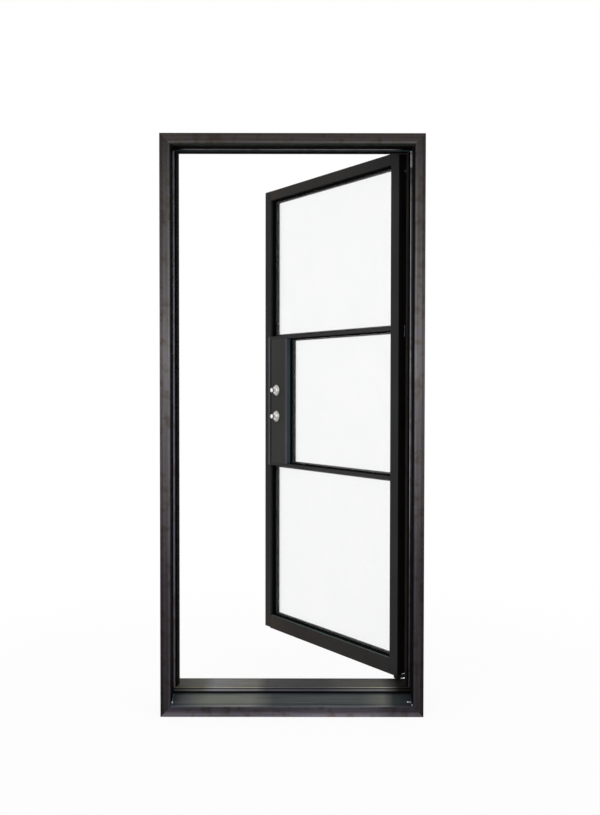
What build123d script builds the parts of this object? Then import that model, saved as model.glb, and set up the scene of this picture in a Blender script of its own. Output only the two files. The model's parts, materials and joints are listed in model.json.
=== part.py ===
from build123d import *
import os
from math import cos, radians, sin

# A single glazed steel door in its welded frame, standing open.
# +X is to the viewer's right, +Y away from the viewer, +Z up, in millimetres.
# The origin is at the middle of the sill's underside.

# Frame: four members of one hollow L section
frame_width = 952.0
frame_height = 2100.0
frame_depth = 178.0
face_width = 38.0
front_box_depth = 75.0
rear_wall = 20.0
frame_sheet = 2.5
frame_round = 1.2

# Wall fixings through the rebates of the jambs
fixing_radius = 4.5
fixing_depth = 150.0
fixing_sill_inset = 300.0
fixing_head_inset = 160.0
fixing_step = 490.0

# Stop tubes behind the front boxes
stop_depth = 44.0
jamb_stop_reach = 11.0
jamb_stop_splay = 6.0
head_stop_reach = 7.0
stop_chamfer = 5.0
stop_sheet = 2.0

# Rubber seals on the back of the stops
seal_room = 6.0
seal_clearance = 0.3
seal_width = 10.0
seal_inset = 8.0
seal_round = 2.0

# Sloped tread on the sill's front box
tread_rise = 24.0
tread_nose = 3.0
tread_sheet = 2.5
tread_back_gap = 2.5
tread_side_gap = 0.2

# Raised threshold on the sill's rear wall
threshold_top = 84.0
threshold_setback = 9.0
threshold_nose = 4.0
threshold_nose_height = 4.5
threshold_lip = 7.0
threshold_lip_height = 7.0
threshold_lip_drop = 8.0
threshold_sheet = 2.5
threshold_rib = 2.0
threshold_round = 1.2

# Door leaf: rectangular steel tube
lock_gap = 6.0
hinge_gap = 3.0
head_gap = 3.0
sweep_room = 15.0
leaf_depth = 48.0
leaf_sheet = 2.5
leaf_round = 1.5
stile_face = 45.0
top_rail_face = 42.0
bottom_rail_face = 56.0
bar_face = 13.0
lower_bar_height = 847.0

# Lock box between the bars
lock_box_height = 555.5
mullion_face = 16.0
lock_box_width = 109.0
lock_box_groove = 2.0
lock_box_recess = 1.0
lock_sheet = 2.0

# Glazing
glazing_setback = 25.0
glazing_stop_reach = 4.5
glazing_stop_sheet = 3.0
glass_thickness = 8.0
glass_clearance = 1.5
bead_side = 10.0
bead_joint = 0.3

# Bottom sweep: carrier and blade
carrier_width = 9.0
carrier_height = 7.0
blade_width = 4.0
sweep_clearance = 0.5
sweep_end_gap = 6.0

# Barrel hinges
open_angle = 54.2
hinge_out = 9.0
hinge_back = 25.0
hinge_inset = 230.0
barrel_radius = 11.0
barrel_length = 50.0
barrel_cap = 6.0
barrel_cap_round = 5.0
barrel_end_wall = 5.0
pin_radius = 6.0
pin_clearance = 0.1
pin_end_gap = 1.0
washer_room = 3.0
washer_clearance = 0.1
frame_wing_width = 12.0
frame_wing_shift = 2.0
leaf_wing_thickness = 6.0
leaf_wing_reach = 34.0
leaf_wing_foot = 12.0
leaf_wing_edge_gap = 1.0

# Locks: mortise cases, bolts, cranks
latch_rise = 209.5
lock_spacing = 117.0
spindle_backset = 89.0
spindle_radius = 4.0
spindle_clearance = 0.4
case_back = 29.0
case_width = 22.0
case_headroom = 0.5
case_sheet = 2.0
case_clearance = 0.3
faceplate_thickness = 2.5
faceplate_half_height = 38.0
faceplate_width = 24.0
faceplate_clearance = 0.2
bolt_clearance = 0.4
crank_thickness = 4.0
crank_width = 7.0
crank_gap = 1.0
crank_pin_radius = 2.0
crank_slot_clearance = 0.7
tail_thickness = 3.0
tail_foot = 5.0
tail_head = 3.0
tail_end = 4.0

deadbolt_throw = 16.0
deadbolt_turn = 90.0
deadbolt_width = 14.0
deadbolt_tall = 18.0
deadbolt_length = 48.0
deadbolt_set_in = 0.5
bolt_round = 2.0

latch_throw = 12.0
latch_turn = 60.0
latch_width = 12.0
latch_tall = 16.0
latch_length = 40.0
latch_tip = 3.0

spring_seat = 66.0
spring_seat_thickness = 3.0
spring_seat_rise = 2.0
spring_radius = 4.0
spring_wire = 0.7
spring_pitch = 6.0
spring_drop = 3.0
spring_end_gap = 0.5

# Knobs on conical roses
rose_radius = 24.5
rose_rim = 2.0
rose_top_radius = 12.5
rose_height = 13.0
rose_round = 1.5
rose_bore_clearance = 0.4
knob_radius = 9.5
knob_length = 12.0
knob_round = 3.5
knob_chamfer = 2.0
neck_radius = 6.0
neck_length = 3.0
knob_rose_gap = 0.4
knob_bore_clearance = 0.05
knob_bore_depth = 9.0

# Strikes on the lock jamb
strike_thickness = 1.5
strike_width = 28.0
strike_half_height = 38.0
strike_clearance = 1.0
strike_round = 3.0
lip_half_height = 22.0
lip_curve = 5.0
lip_gap = 0.3
pocket_clearance = 3.0

# One overrun serves all cuts
overrun = 5.0

# Places worked out from the sizes
half_width = frame_width / 2
front_y = -frame_depth / 2
rear_y = frame_depth / 2
rebate_x = half_width - rear_wall
stop_front_y = front_y + front_box_depth
stop_rear_y = stop_front_y + stop_depth
leaf_front_y = stop_rear_y + seal_room
leaf_rear_y = leaf_front_y + leaf_depth
leaf_middle_y = leaf_front_y + leaf_depth / 2
leaf_left = lock_gap - rebate_x
leaf_right = rebate_x - hinge_gap
leaf_bottom = threshold_top + sweep_room
leaf_top = frame_height - rear_wall - head_gap
axis_x = leaf_right + hinge_out
axis_y = leaf_rear_y + hinge_back
light_left = leaf_left + stile_face
light_right = leaf_right - stile_face
light_bottom = leaf_bottom + bottom_rail_face
light_top = leaf_top - top_rail_face
lower_bar_bottom = lower_bar_height - bar_face / 2
lower_bar_top = lower_bar_height + bar_face / 2
upper_bar_bottom = lower_bar_top + lock_box_height
upper_bar_top = upper_bar_bottom + bar_face
lock_box_left = light_left + lock_box_groove
mullion_left = lock_box_left + lock_box_width
mullion_right = mullion_left + mullion_face
spindle_x = leaf_left + spindle_backset
lock_front_y = leaf_front_y + lock_box_recess
lock_rear_y = leaf_rear_y - lock_box_recess
tail_front_y = leaf_middle_y - tail_thickness / 2
tail_rear_y = leaf_middle_y + tail_thickness / 2
latch_height = lower_bar_top + latch_rise
deadbolt_height = latch_height + lock_spacing

# Each crank starts tilted by half its turn, so that the turn carries the bolt over its throw
deadbolt_tilt = deadbolt_turn / 2
deadbolt_crank = deadbolt_throw / 2 / sin(radians(deadbolt_tilt))
latch_tilt = -latch_turn / 2
latch_crank = latch_throw / 2 / sin(radians(-latch_tilt))
notch_half_width = crank_pin_radius + crank_slot_clearance
case_length = spindle_backset + case_back
case_head = notch_half_width + tail_head + case_headroom + case_sheet
deadbolt_case_half = deadbolt_crank + case_head
latch_case_half = latch_crank + case_head

# Each frame member runs round the frame: its section's x goes inwards and its y goes back
left_run = Plane(origin=(-half_width, front_y, 0), x_dir=(1, 0, 0), z_dir=(0, 0, 1))
head_run = Plane(origin=(-half_width, front_y, frame_height), x_dir=(0, 0, -1), z_dir=(1, 0, 0))
right_run = Plane(origin=(half_width, front_y, frame_height), x_dir=(-1, 0, 0), z_dir=(0, 0, -1))
sill_run = Plane(origin=(half_width, front_y, 0), x_dir=(0, 0, 1), z_dir=(-1, 0, 0))

# The leaf is drawn in its closed place, on planes that the hinges have swung open
hinge_place = Location((axis_x, axis_y, 0))
swing = hinge_place * Location((0, 0, 0), (0, 0, -open_angle)) * hinge_place.inverse()
leaf_plan = Plane(swing)
leaf_elevation = Plane(swing * Plane.XZ.location)
leaf_section = Plane(swing * Plane.YZ.location)

os.makedirs("parts", exist_ok=True)


def save(piece, name):
    """Label a finished piece and write it to its own file."""
    piece.part.label = name
    export_step(piece.part, f"parts/{name}.step")


def between(x0, y0, x1, y1, mode=Mode.ADD):
    """A rectangle from one corner to the other, in the current sketch."""
    with Locations(((x0 + x1) / 2, (y0 + y1) / 2)):
        Rectangle(x1 - x0, y1 - y0, mode=mode)


def tube(x0, y0, x1, y1, sheet, outer_round):
    """A rectangular tube section from one corner to the other, in the current sketch."""
    with Locations(((x0 + x1) / 2, (y0 + y1) / 2)):
        RectangleRounded(x1 - x0, y1 - y0, outer_round)
        Rectangle(x1 - x0 - 2 * sheet, y1 - y0 - 2 * sheet, mode=Mode.SUBTRACT)


def frame_member(run, length):
    """A hollow L section along one side of the frame, mitred at both ends."""
    with BuildSketch(run) as section:
        between(0, 0, face_width, front_box_depth)
        between(0, 0, rear_wall, frame_depth)
        outer_corners = section.vertices().sort_by_distance((rear_wall, front_box_depth))[1:]
        fillet(outer_corners, frame_round)
        offset(amount=-frame_sheet, kind=Kind.INTERSECTION, mode=Mode.SUBTRACT)
    extrude(section.sketch, amount=length)
    split(bisect_by=Plane(origin=run.origin, z_dir=run.z_dir - run.x_dir), keep=Keep.TOP)
    far_end = run.origin + run.z_dir * length
    split(bisect_by=Plane(origin=far_end, z_dir=run.z_dir + run.x_dir), keep=Keep.BOTTOM)


def wall_fixings(side):
    """Holes through both skins of a jamb's rear wall, four up each jamb."""
    with BuildSketch(Plane.YZ.offset(side * half_width)) as section:
        for height in (
            fixing_sill_inset,
            fixing_sill_inset + fixing_step,
            frame_height - fixing_head_inset - fixing_step,
            frame_height - fixing_head_inset,
        ):
            with Locations((front_y + fixing_depth, height)):
                Circle(fixing_radius)
    extrude(section.sketch, amount=-side * (rear_wall + overrun), mode=Mode.SUBTRACT)


def stop_tube(run, reach, splay, start, length):
    """A stop with a chamfered front edge and a splayed inner face, standing behind the front boxes."""
    with BuildSketch(run.offset(start)) as section:
        with BuildLine():
            Polyline(
                (rear_wall, front_box_depth),
                (face_width + reach - stop_chamfer, front_box_depth),
                (face_width + reach, front_box_depth + stop_chamfer),
                (face_width + reach + splay, front_box_depth + stop_depth),
                (rear_wall, front_box_depth + stop_depth),
                close=True,
            )
        make_face()
        offset(amount=-stop_sheet, kind=Kind.INTERSECTION, mode=Mode.SUBTRACT)
    extrude(section.sketch, amount=length)


def stop_seal(run, start, length):
    """A rounded rubber strip on the back of a stop, just clear of the closed leaf."""
    seal_front = front_box_depth + stop_depth
    with BuildSketch(run.offset(start)) as section:
        between(
            rear_wall + seal_inset,
            seal_front,
            rear_wall + seal_inset + seal_width,
            seal_front + seal_room - seal_clearance,
        )
        fillet(section.vertices().group_by(Axis.Y)[-1], seal_round)
    extrude(section.sketch, amount=length)


# Left jamb: mitred member with wall fixings and a pocket behind each strike
with BuildPart() as left_jamb:
    frame_member(left_run, frame_height)
    wall_fixings(-1)
    with BuildSketch(Plane.YZ.offset(-rebate_x - frame_sheet - overrun)):
        for height, width, tall in (
            (deadbolt_height, deadbolt_width, deadbolt_tall),
            (latch_height, latch_width, latch_tall),
        ):
            with Locations((leaf_middle_y, height)):
                Rectangle(width + 2 * pocket_clearance, tall + 2 * pocket_clearance)
    extrude(amount=frame_sheet + 2 * overrun, mode=Mode.SUBTRACT)
save(left_jamb, "left_jamb")

# Right jamb: mitred member with wall fixings
with BuildPart() as right_jamb:
    frame_member(right_run, frame_height)
    wall_fixings(1)
save(right_jamb, "right_jamb")

# Head and sill: the same mitred member
with BuildPart() as head:
    frame_member(head_run, frame_width)
save(head, "head")

with BuildPart() as sill:
    frame_member(sill_run, frame_width)
save(sill, "sill")

# Stops: the jambs' stand on the threshold under the head's, which runs from jamb to jamb
jamb_stop_top = face_width + head_stop_reach
jamb_stop_length = frame_height - jamb_stop_top - threshold_top
with BuildPart() as left_stop:
    stop_tube(left_run, jamb_stop_reach, jamb_stop_splay, threshold_top, jamb_stop_length)
save(left_stop, "left_stop")

with BuildPart() as right_stop:
    stop_tube(right_run, jamb_stop_reach, jamb_stop_splay, jamb_stop_top, jamb_stop_length)
save(right_stop, "right_stop")

with BuildPart() as head_stop:
    stop_tube(head_run, head_stop_reach, 0, rear_wall, frame_width - 2 * rear_wall)
save(head_stop, "head_stop")

# Seals: the head's runs over the opening, the jambs' end below it
head_seal_start = face_width + jamb_stop_reach
jamb_seal_top = rear_wall + seal_inset + seal_width
with BuildPart() as left_seal:
    stop_seal(left_run, threshold_top, frame_height - jamb_seal_top - threshold_top)
save(left_seal, "left_seal")

with BuildPart() as right_seal:
    stop_seal(right_run, jamb_seal_top, frame_height - jamb_seal_top - threshold_top)
save(right_seal, "right_seal")

with BuildPart() as head_seal:
    stop_seal(head_run, head_seal_start, frame_width - 2 * head_seal_start)
save(head_seal, "head_seal")

# Sill tread: folded sheet that slopes up from the front arris to the threshold
tread_width = frame_width - 2 * (face_width + tread_side_gap)
tread_back_y = stop_front_y - tread_back_gap
with BuildPart() as sill_tread:
    with BuildSketch(Plane.YZ.offset(-tread_width / 2)) as tread_section:
        with BuildLine():
            Polyline(
                (front_y + frame_round, face_width),
                (front_y + frame_round, face_width + tread_nose),
                (tread_back_y, face_width + tread_rise),
                (tread_back_y, face_width),
                close=True,
            )
        make_face()
        with BuildLine():
            Polyline(
                (front_y + frame_round + 2 * tread_sheet, face_width),
                (tread_back_y - tread_sheet, face_width + tread_rise - 2 * tread_sheet),
                (tread_back_y - tread_sheet, face_width),
                close=True,
            )
        make_face(mode=Mode.SUBTRACT)
    extrude(amount=tread_width)
save(sill_tread, "sill_tread")

# Threshold: hollow extrusion with a rounded nose and a lip below it
threshold_face_y = stop_front_y + threshold_setback
threshold_nose_y = threshold_face_y - threshold_nose
threshold_lip_y = threshold_face_y - threshold_lip
lip_top = threshold_top - threshold_lip_drop
lip_bottom = lip_top - threshold_lip_height
chamber_middle_y = (threshold_face_y + rear_y) / 2
with BuildPart() as threshold:
    with BuildSketch(Plane.YZ.offset(-rebate_x)) as threshold_section:
        between(threshold_face_y, rear_wall, rear_y, threshold_top)
        between(threshold_nose_y, threshold_top - threshold_nose_height, rear_y, threshold_top)
        between(threshold_lip_y, lip_bottom, rear_y, lip_top)
        fillet(threshold_section.vertices().group_by(Axis.X)[:2], threshold_round)
        for chamber_front, chamber_back in (
            (threshold_face_y + threshold_sheet, chamber_middle_y - threshold_rib / 2),
            (chamber_middle_y + threshold_rib / 2, rear_y - threshold_sheet),
        ):
            between(
                chamber_front,
                rear_wall + threshold_sheet,
                chamber_back,
                threshold_top - threshold_sheet,
                mode=Mode.SUBTRACT,
            )
    extrude(amount=2 * rebate_x)
save(threshold, "threshold")


def strike_plate(height, width, tall):
    """A flat plate on the lock jamb's rebate, with a hole for its bolt."""
    with BuildSketch(Plane.YZ.offset(-rebate_x)) as section:
        with Locations((leaf_middle_y, height)):
            RectangleRounded(strike_width, 2 * strike_half_height, strike_round)
            Rectangle(width + 2 * strike_clearance, tall + 2 * strike_clearance, mode=Mode.SUBTRACT)
    extrude(section.sketch, amount=strike_thickness)


# Deadbolt strike: the flat plate alone
with BuildPart() as deadbolt_strike:
    strike_plate(deadbolt_height, deadbolt_width, deadbolt_tall)
save(deadbolt_strike, "deadbolt_strike")

# Latch strike: its lip curls round the jamb's rear edge to guide the latch in
lip_front_y = leaf_middle_y + strike_width / 2 - strike_round
lip_turn_y = rear_y + lip_gap
with BuildPart() as latch_strike:
    strike_plate(latch_height, latch_width, latch_tall)
    with BuildSketch(Plane.XY.offset(latch_height - lip_half_height)):
        between(-rebate_x, lip_front_y, -rebate_x + strike_thickness, lip_turn_y)
        with BuildLine():
            curl = CenterArc((-rebate_x - lip_curve, lip_turn_y), lip_curve, 0, 90)
            outer_curl = CenterArc((-rebate_x - lip_curve, lip_turn_y), lip_curve + strike_thickness, 0, 90)
            Line(curl @ 0, outer_curl @ 0)
            Line(curl @ 1, outer_curl @ 1)
        make_face()
    extrude(amount=2 * lip_half_height)
save(latch_strike, "latch_strike")


def stile(stile_left, stile_right):
    """An upright tube over the leaf's full height, closed by an end plate at top and bottom."""
    with BuildSketch(leaf_plan.offset(leaf_bottom)) as section:
        tube(stile_left, leaf_front_y, stile_right, leaf_rear_y, leaf_sheet, leaf_round)
    extrude(section.sketch, amount=leaf_top - leaf_bottom)
    for plate_bottom in (leaf_bottom, leaf_top - leaf_sheet):
        with BuildSketch(leaf_plan.offset(plate_bottom)) as section:
            with Locations(((stile_left + stile_right) / 2, leaf_middle_y)):
                RectangleRounded(stile_right - stile_left, leaf_depth, leaf_round)
        extrude(section.sketch, amount=leaf_sheet)


# Stiles: the lock stile has windows for the faceplates and cases
with BuildPart() as lock_stile:
    stile(leaf_left, light_left)
    for height, half_height in ((deadbolt_height, deadbolt_case_half), (latch_height, latch_case_half)):
        with BuildSketch(leaf_section.offset(leaf_left - overrun)):
            with Locations((leaf_middle_y, height)):
                Rectangle(
                    faceplate_width + 2 * faceplate_clearance,
                    2 * (faceplate_half_height + faceplate_clearance),
                )
        extrude(amount=leaf_sheet + 2 * overrun, mode=Mode.SUBTRACT)
        with BuildSketch(leaf_section.offset(light_left - leaf_sheet - overrun)):
            with Locations((leaf_middle_y, height)):
                Rectangle(case_width + 2 * case_clearance, 2 * (half_height + case_clearance))
        extrude(amount=leaf_sheet + 2 * overrun, mode=Mode.SUBTRACT)
save(lock_stile, "lock_stile")

with BuildPart() as hinge_stile:
    stile(light_right, leaf_right)
save(hinge_stile, "hinge_stile")

# Rails and glazing bars: level tubes between the stiles
for member_name, member_bottom, member_top in (
    ("top_rail", light_top, leaf_top),
    ("bottom_rail", leaf_bottom, light_bottom),
    ("upper_bar", upper_bar_bottom, upper_bar_top),
    ("lower_bar", lower_bar_bottom, lower_bar_top),
):
    with BuildPart() as level_member:
        with BuildSketch(leaf_section.offset(light_left)):
            tube(leaf_front_y, member_bottom, leaf_rear_y, member_top, leaf_sheet, leaf_round)
        extrude(amount=light_right - light_left)
    save(level_member, member_name)

# Lock mullion: upright tube between the bars
with BuildPart() as lock_mullion:
    with BuildSketch(leaf_plan.offset(lower_bar_top)):
        tube(mullion_left, leaf_front_y, mullion_right, leaf_rear_y, leaf_sheet, leaf_round)
    extrude(amount=lock_box_height)
save(lock_mullion, "lock_mullion")

# Lock box: wide tube welded to the mullion, a groove away from the lock stile
with BuildPart() as lock_box:
    with BuildSketch(leaf_plan.offset(lower_bar_top)):
        tube(lock_box_left, lock_front_y, mullion_left, lock_rear_y, lock_sheet, leaf_round)
    extrude(amount=lock_box_height)
    for height, half_height in ((deadbolt_height, deadbolt_case_half), (latch_height, latch_case_half)):
        with BuildSketch(leaf_section.offset(lock_box_left - overrun)):
            with Locations((leaf_middle_y, height)):
                Rectangle(case_width + 2 * case_clearance, 2 * (half_height + case_clearance))
        extrude(amount=lock_sheet + 2 * overrun, mode=Mode.SUBTRACT)
        with BuildSketch(leaf_elevation.offset(overrun - leaf_front_y)):
            with Locations((spindle_x, height)):
                Circle(spindle_radius + spindle_clearance)
        extrude(amount=-leaf_depth - 2 * overrun, mode=Mode.SUBTRACT)
save(lock_box, "lock_box")

# Glazing of the three lights: fixed stop, pane and four beads behind it
glazing_stop_y = leaf_front_y + glazing_setback
glass_front_y = glazing_stop_y + glazing_stop_sheet
bead_front_y = glass_front_y + glass_thickness
for light_name, light_x, light_base, light_head in (
    ("upper", light_left, upper_bar_top, light_top),
    ("middle", mullion_right, lower_bar_top, upper_bar_bottom),
    ("lower", light_left, light_bottom, lower_bar_bottom),
):
    with BuildPart() as glazing_stop:
        with BuildSketch(leaf_elevation.offset(-glazing_stop_y)):
            between(light_x, light_base, light_right, light_head)
            between(
                light_x + glazing_stop_reach,
                light_base + glazing_stop_reach,
                light_right - glazing_stop_reach,
                light_head - glazing_stop_reach,
                mode=Mode.SUBTRACT,
            )
        extrude(amount=-glazing_stop_sheet)
    save(glazing_stop, f"{light_name}_glazing_stop")

    with BuildPart() as glass:
        with BuildSketch(leaf_elevation.offset(-glass_front_y)):
            between(
                light_x + glass_clearance,
                light_base + glass_clearance,
                light_right - glass_clearance,
                light_head - glass_clearance,
            )
        extrude(amount=-glass_thickness)
    save(glass, f"{light_name}_glass")

    with BuildPart() as beads:
        with BuildSketch(leaf_elevation.offset(-bead_front_y)):
            between(light_x, light_base, light_right, light_base + bead_side)
            between(light_x, light_head - bead_side, light_right, light_head)
            bead_base = light_base + bead_side + bead_joint
            bead_head = light_head - bead_side - bead_joint
            between(light_x, bead_base, light_x + bead_side, bead_head)
            between(light_right - bead_side, bead_base, light_right, bead_head)
        extrude(amount=-bead_side)
    save(beads, f"{light_name}_beads")

# Bottom sweep: a carrier under the bottom rail with a blade close to the threshold
with BuildPart() as bottom_sweep:
    with BuildSketch(leaf_section.offset(leaf_left + sweep_end_gap)):
        between(
            leaf_middle_y,
            leaf_bottom - carrier_height,
            leaf_middle_y + carrier_width,
            leaf_bottom,
        )
        between(
            leaf_middle_y,
            threshold_top + sweep_clearance,
            leaf_middle_y + blade_width,
            leaf_bottom,
        )
    extrude(amount=leaf_right - leaf_left - 2 * sweep_end_gap)
save(bottom_sweep, "bottom_sweep")

# Barrel hinges: a frame barrel with a fixed pin below, a leaf barrel on a washer above
hinge_heights = {
    "lower": leaf_bottom + hinge_inset,
    "middle": (leaf_bottom + leaf_top) / 2,
    "upper": leaf_top - hinge_inset,
}
pin_bottom = -washer_room / 2 - barrel_length + barrel_end_wall
pin_top = washer_room / 2 + barrel_length - barrel_end_wall - pin_end_gap
for hinge_name, height in hinge_heights.items():
    frame_barrel_base = height - washer_room / 2 - barrel_length
    with BuildPart() as frame_barrel:
        with BuildSketch(Plane.XY.offset(frame_barrel_base - barrel_cap)):
            with Locations((axis_x, axis_y)):
                Circle(barrel_radius)
        extrude(amount=barrel_length + barrel_cap)
        fillet(frame_barrel.edges().group_by(Axis.Z)[0], barrel_cap_round)
        with BuildSketch(Plane.XY.offset(frame_barrel_base)):
            wing_left = axis_x + frame_wing_shift - frame_wing_width / 2
            between(wing_left, rear_y, wing_left + frame_wing_width, axis_y)
        extrude(amount=barrel_length)
        with BuildSketch(Plane.XY.offset(frame_barrel_base + barrel_end_wall)):
            with Locations((axis_x, axis_y)):
                Circle(pin_radius)
        extrude(amount=barrel_length, mode=Mode.SUBTRACT)
    save(frame_barrel, f"{hinge_name}_frame_barrel")

    leaf_barrel_base = height + washer_room / 2
    with BuildPart() as leaf_barrel:
        with BuildSketch(leaf_plan.offset(leaf_barrel_base)):
            with Locations((axis_x, axis_y)):
                Circle(barrel_radius)
        extrude(amount=barrel_length + barrel_cap)
        fillet(leaf_barrel.edges().group_by(Axis.Z)[-1], barrel_cap_round)
        with BuildSketch(leaf_plan.offset(leaf_barrel_base)):
            wing_right = leaf_right - leaf_wing_edge_gap
            with BuildLine():
                Polyline(
                    (wing_right - leaf_wing_reach, leaf_rear_y),
                    (wing_right, leaf_rear_y),
                    (axis_x, axis_y - pin_radius),
                    (axis_x, axis_y),
                    (axis_x - barrel_radius, axis_y),
                    (wing_right - leaf_wing_foot, leaf_rear_y + leaf_wing_thickness),
                    (wing_right - leaf_wing_reach, leaf_rear_y + leaf_wing_thickness),
                    close=True,
                )
            make_face()
        extrude(amount=barrel_length)
        with BuildSketch(leaf_plan.offset(leaf_barrel_base - overrun)):
            with Locations((axis_x, axis_y)):
                Circle(pin_radius + pin_clearance)
        extrude(amount=overrun + barrel_length - barrel_end_wall, mode=Mode.SUBTRACT)
    save(leaf_barrel, f"{hinge_name}_leaf_barrel")

# Hinge pins, fixed in the frame barrels
with BuildPart() as hinge_pins:
    for height in hinge_heights.values():
        with BuildSketch(Plane.XY.offset(height + pin_bottom)):
            with Locations((axis_x, axis_y)):
                Circle(pin_radius)
        extrude(amount=pin_top - pin_bottom)
save(hinge_pins, "hinge_pins")

# Bearing washers between the barrels
with BuildPart() as hinge_washers:
    for height in hinge_heights.values():
        with BuildSketch(Plane.XY.offset(height - washer_room / 2)):
            with Locations((axis_x, axis_y)):
                Circle(barrel_radius)
                Circle(pin_radius + pin_clearance, mode=Mode.SUBTRACT)
        extrude(amount=washer_room - washer_clearance)
save(hinge_washers, "hinge_washers")


def mortise_case(height, half_height, bolt_width, bolt_tall):
    """A sheet case behind a faceplate, open for the bolt in front and the spindle across."""
    case_front_x = leaf_left + faceplate_thickness
    with BuildSketch(leaf_section.offset(leaf_left)) as section:
        with Locations((leaf_middle_y, height)):
            Rectangle(faceplate_width, 2 * faceplate_half_height)
    extrude(section.sketch, amount=faceplate_thickness)
    with BuildSketch(leaf_section.offset(case_front_x)) as section:
        with Locations((leaf_middle_y, height)):
            Rectangle(case_width, 2 * half_height)
    extrude(section.sketch, amount=case_length - faceplate_thickness)
    with BuildSketch(leaf_section.offset(case_front_x + case_sheet)) as section:
        with Locations((leaf_middle_y, height)):
            Rectangle(case_width - 2 * case_sheet, 2 * (half_height - case_sheet))
    extrude(section.sketch, amount=case_length - faceplate_thickness - 2 * case_sheet, mode=Mode.SUBTRACT)
    with BuildSketch(leaf_section.offset(leaf_left - overrun)) as section:
        with Locations((leaf_middle_y, height)):
            Rectangle(bolt_width + 2 * bolt_clearance, bolt_tall + 2 * bolt_clearance)
    extrude(section.sketch, amount=faceplate_thickness + case_sheet + 2 * overrun, mode=Mode.SUBTRACT)
    with BuildSketch(leaf_elevation.offset(overrun - leaf_front_y)) as section:
        with Locations((spindle_x, height)):
            Circle(spindle_radius + spindle_clearance)
    extrude(section.sketch, amount=-leaf_depth - 2 * overrun, mode=Mode.SUBTRACT)


def bolt_tail(height, tail_left, pin_x, crank_radius):
    """A bar from the bolt over the spindle, notched from below for the crank's pin."""
    notch_left = pin_x - notch_half_width
    notch_right = pin_x + notch_half_width
    notch_top = height + crank_radius + notch_half_width
    with BuildSketch(leaf_elevation.offset(-tail_front_y)) as section:
        between(tail_left, height + tail_foot, notch_right + tail_end, notch_top + tail_head)
        between(notch_left, height + tail_foot, notch_right, notch_top, mode=Mode.SUBTRACT)
    extrude(section.sketch, amount=-tail_thickness)


def crank_spindle(height, radius, tilt):
    """A round spindle through the leaf, with a crank arm tilted from upright and its pin."""
    pin_x = spindle_x + radius * sin(radians(tilt))
    pin_z = height + radius * cos(radians(tilt))
    arm_front_y = tail_rear_y + crank_gap
    pin_front_y = tail_front_y - crank_gap
    with BuildSketch(leaf_elevation.offset(-spindle_front_y)) as section:
        with Locations((spindle_x, height)):
            Circle(spindle_radius)
    extrude(section.sketch, amount=spindle_front_y - spindle_rear_y)
    with BuildSketch(leaf_elevation.offset(-arm_front_y)) as section:
        with Locations(((spindle_x + pin_x) / 2, (height + pin_z) / 2)):
            SlotCenterToCenter(radius, crank_width, rotation=90 - tilt)
    extrude(section.sketch, amount=-crank_thickness)
    with BuildSketch(leaf_elevation.offset(-pin_front_y)) as section:
        with Locations((pin_x, pin_z)):
            Circle(crank_pin_radius)
    extrude(section.sketch, amount=pin_front_y - arm_front_y)


def turned(height, outline):
    """A turned piece about a spindle, from points of y, radius and the corner's rounding."""
    across = leaf_section.offset(spindle_x)
    with BuildSketch(across) as profile:
        with BuildLine():
            FilletPolyline(
                *[(y, height + radius) for y, radius, rounding in outline],
                radius=[rounding for y, radius, rounding in outline],
                close=True,
            )
        make_face()
    revolve(profile.sketch, axis=Axis(across.from_local_coords((0, height, 0)), across.x_dir))


# Deadbolt: drawn in, with its crank tilted towards the hinges
deadbolt_front_x = leaf_left + deadbolt_set_in
with BuildPart() as deadbolt:
    with BuildSketch(leaf_section.offset(deadbolt_front_x)):
        with Locations((leaf_middle_y, deadbolt_height)):
            RectangleRounded(deadbolt_width, deadbolt_tall, bolt_round)
    extrude(amount=deadbolt_length)
    bolt_tail(
        deadbolt_height,
        deadbolt_front_x + deadbolt_length - tail_foot,
        spindle_x + deadbolt_throw / 2,
        deadbolt_crank,
    )
save(deadbolt, "deadbolt")

# Latch bolt: sprung out, bevelled on the side that meets the strike
latch_tip_x = leaf_left - latch_throw
latch_back_x = leaf_left + latch_length
latch_front_y = leaf_middle_y - latch_width / 2
latch_rear_y = leaf_middle_y + latch_width / 2
with BuildPart() as latch_bolt:
    with BuildSketch(leaf_plan.offset(latch_height - latch_tall / 2)):
        with BuildLine():
            Polyline(
                (latch_back_x, latch_front_y),
                (leaf_left, latch_front_y),
                (latch_tip_x, latch_rear_y - latch_tip),
                (latch_tip_x, latch_rear_y),
                (latch_back_x, latch_rear_y),
                close=True,
            )
        make_face()
    extrude(amount=latch_tall)
    bolt_tail(latch_height, latch_back_x - tail_foot, spindle_x - latch_throw / 2, latch_crank)
save(latch_bolt, "latch_bolt")

# Lock cases: the latch's has a seat for its spring
with BuildPart() as deadbolt_case:
    mortise_case(deadbolt_height, deadbolt_case_half, deadbolt_width, deadbolt_tall)
save(deadbolt_case, "deadbolt_case")

with BuildPart() as latch_case:
    mortise_case(latch_height, latch_case_half, latch_width, latch_tall)
    with BuildSketch(leaf_section.offset(leaf_left + spring_seat)):
        between(
            leaf_middle_y - case_width / 2,
            latch_height - latch_case_half,
            leaf_middle_y + case_width / 2,
            latch_height + spring_seat_rise,
        )
    extrude(amount=spring_seat_thickness)
save(latch_case, "latch_case")

# Latch spring: an open coil between the bolt and its seat
spring_x = latch_back_x + spring_end_gap + spring_wire
spring_length = leaf_left + spring_seat - spring_end_gap - spring_wire - spring_x
spring_z = latch_height - spring_drop
spring_start = leaf_section.offset(spring_x).from_local_coords((leaf_middle_y, spring_z, 0))
with BuildPart() as latch_spring:
    with BuildLine():
        coil = Helix(spring_pitch, spring_length, spring_radius, spring_start, leaf_section.z_dir)
    with BuildSketch(Plane(origin=coil @ 0, z_dir=coil % 0)):
        Circle(spring_wire)
    sweep(path=coil, is_frenet=True)
save(latch_spring, "latch_spring")

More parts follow.
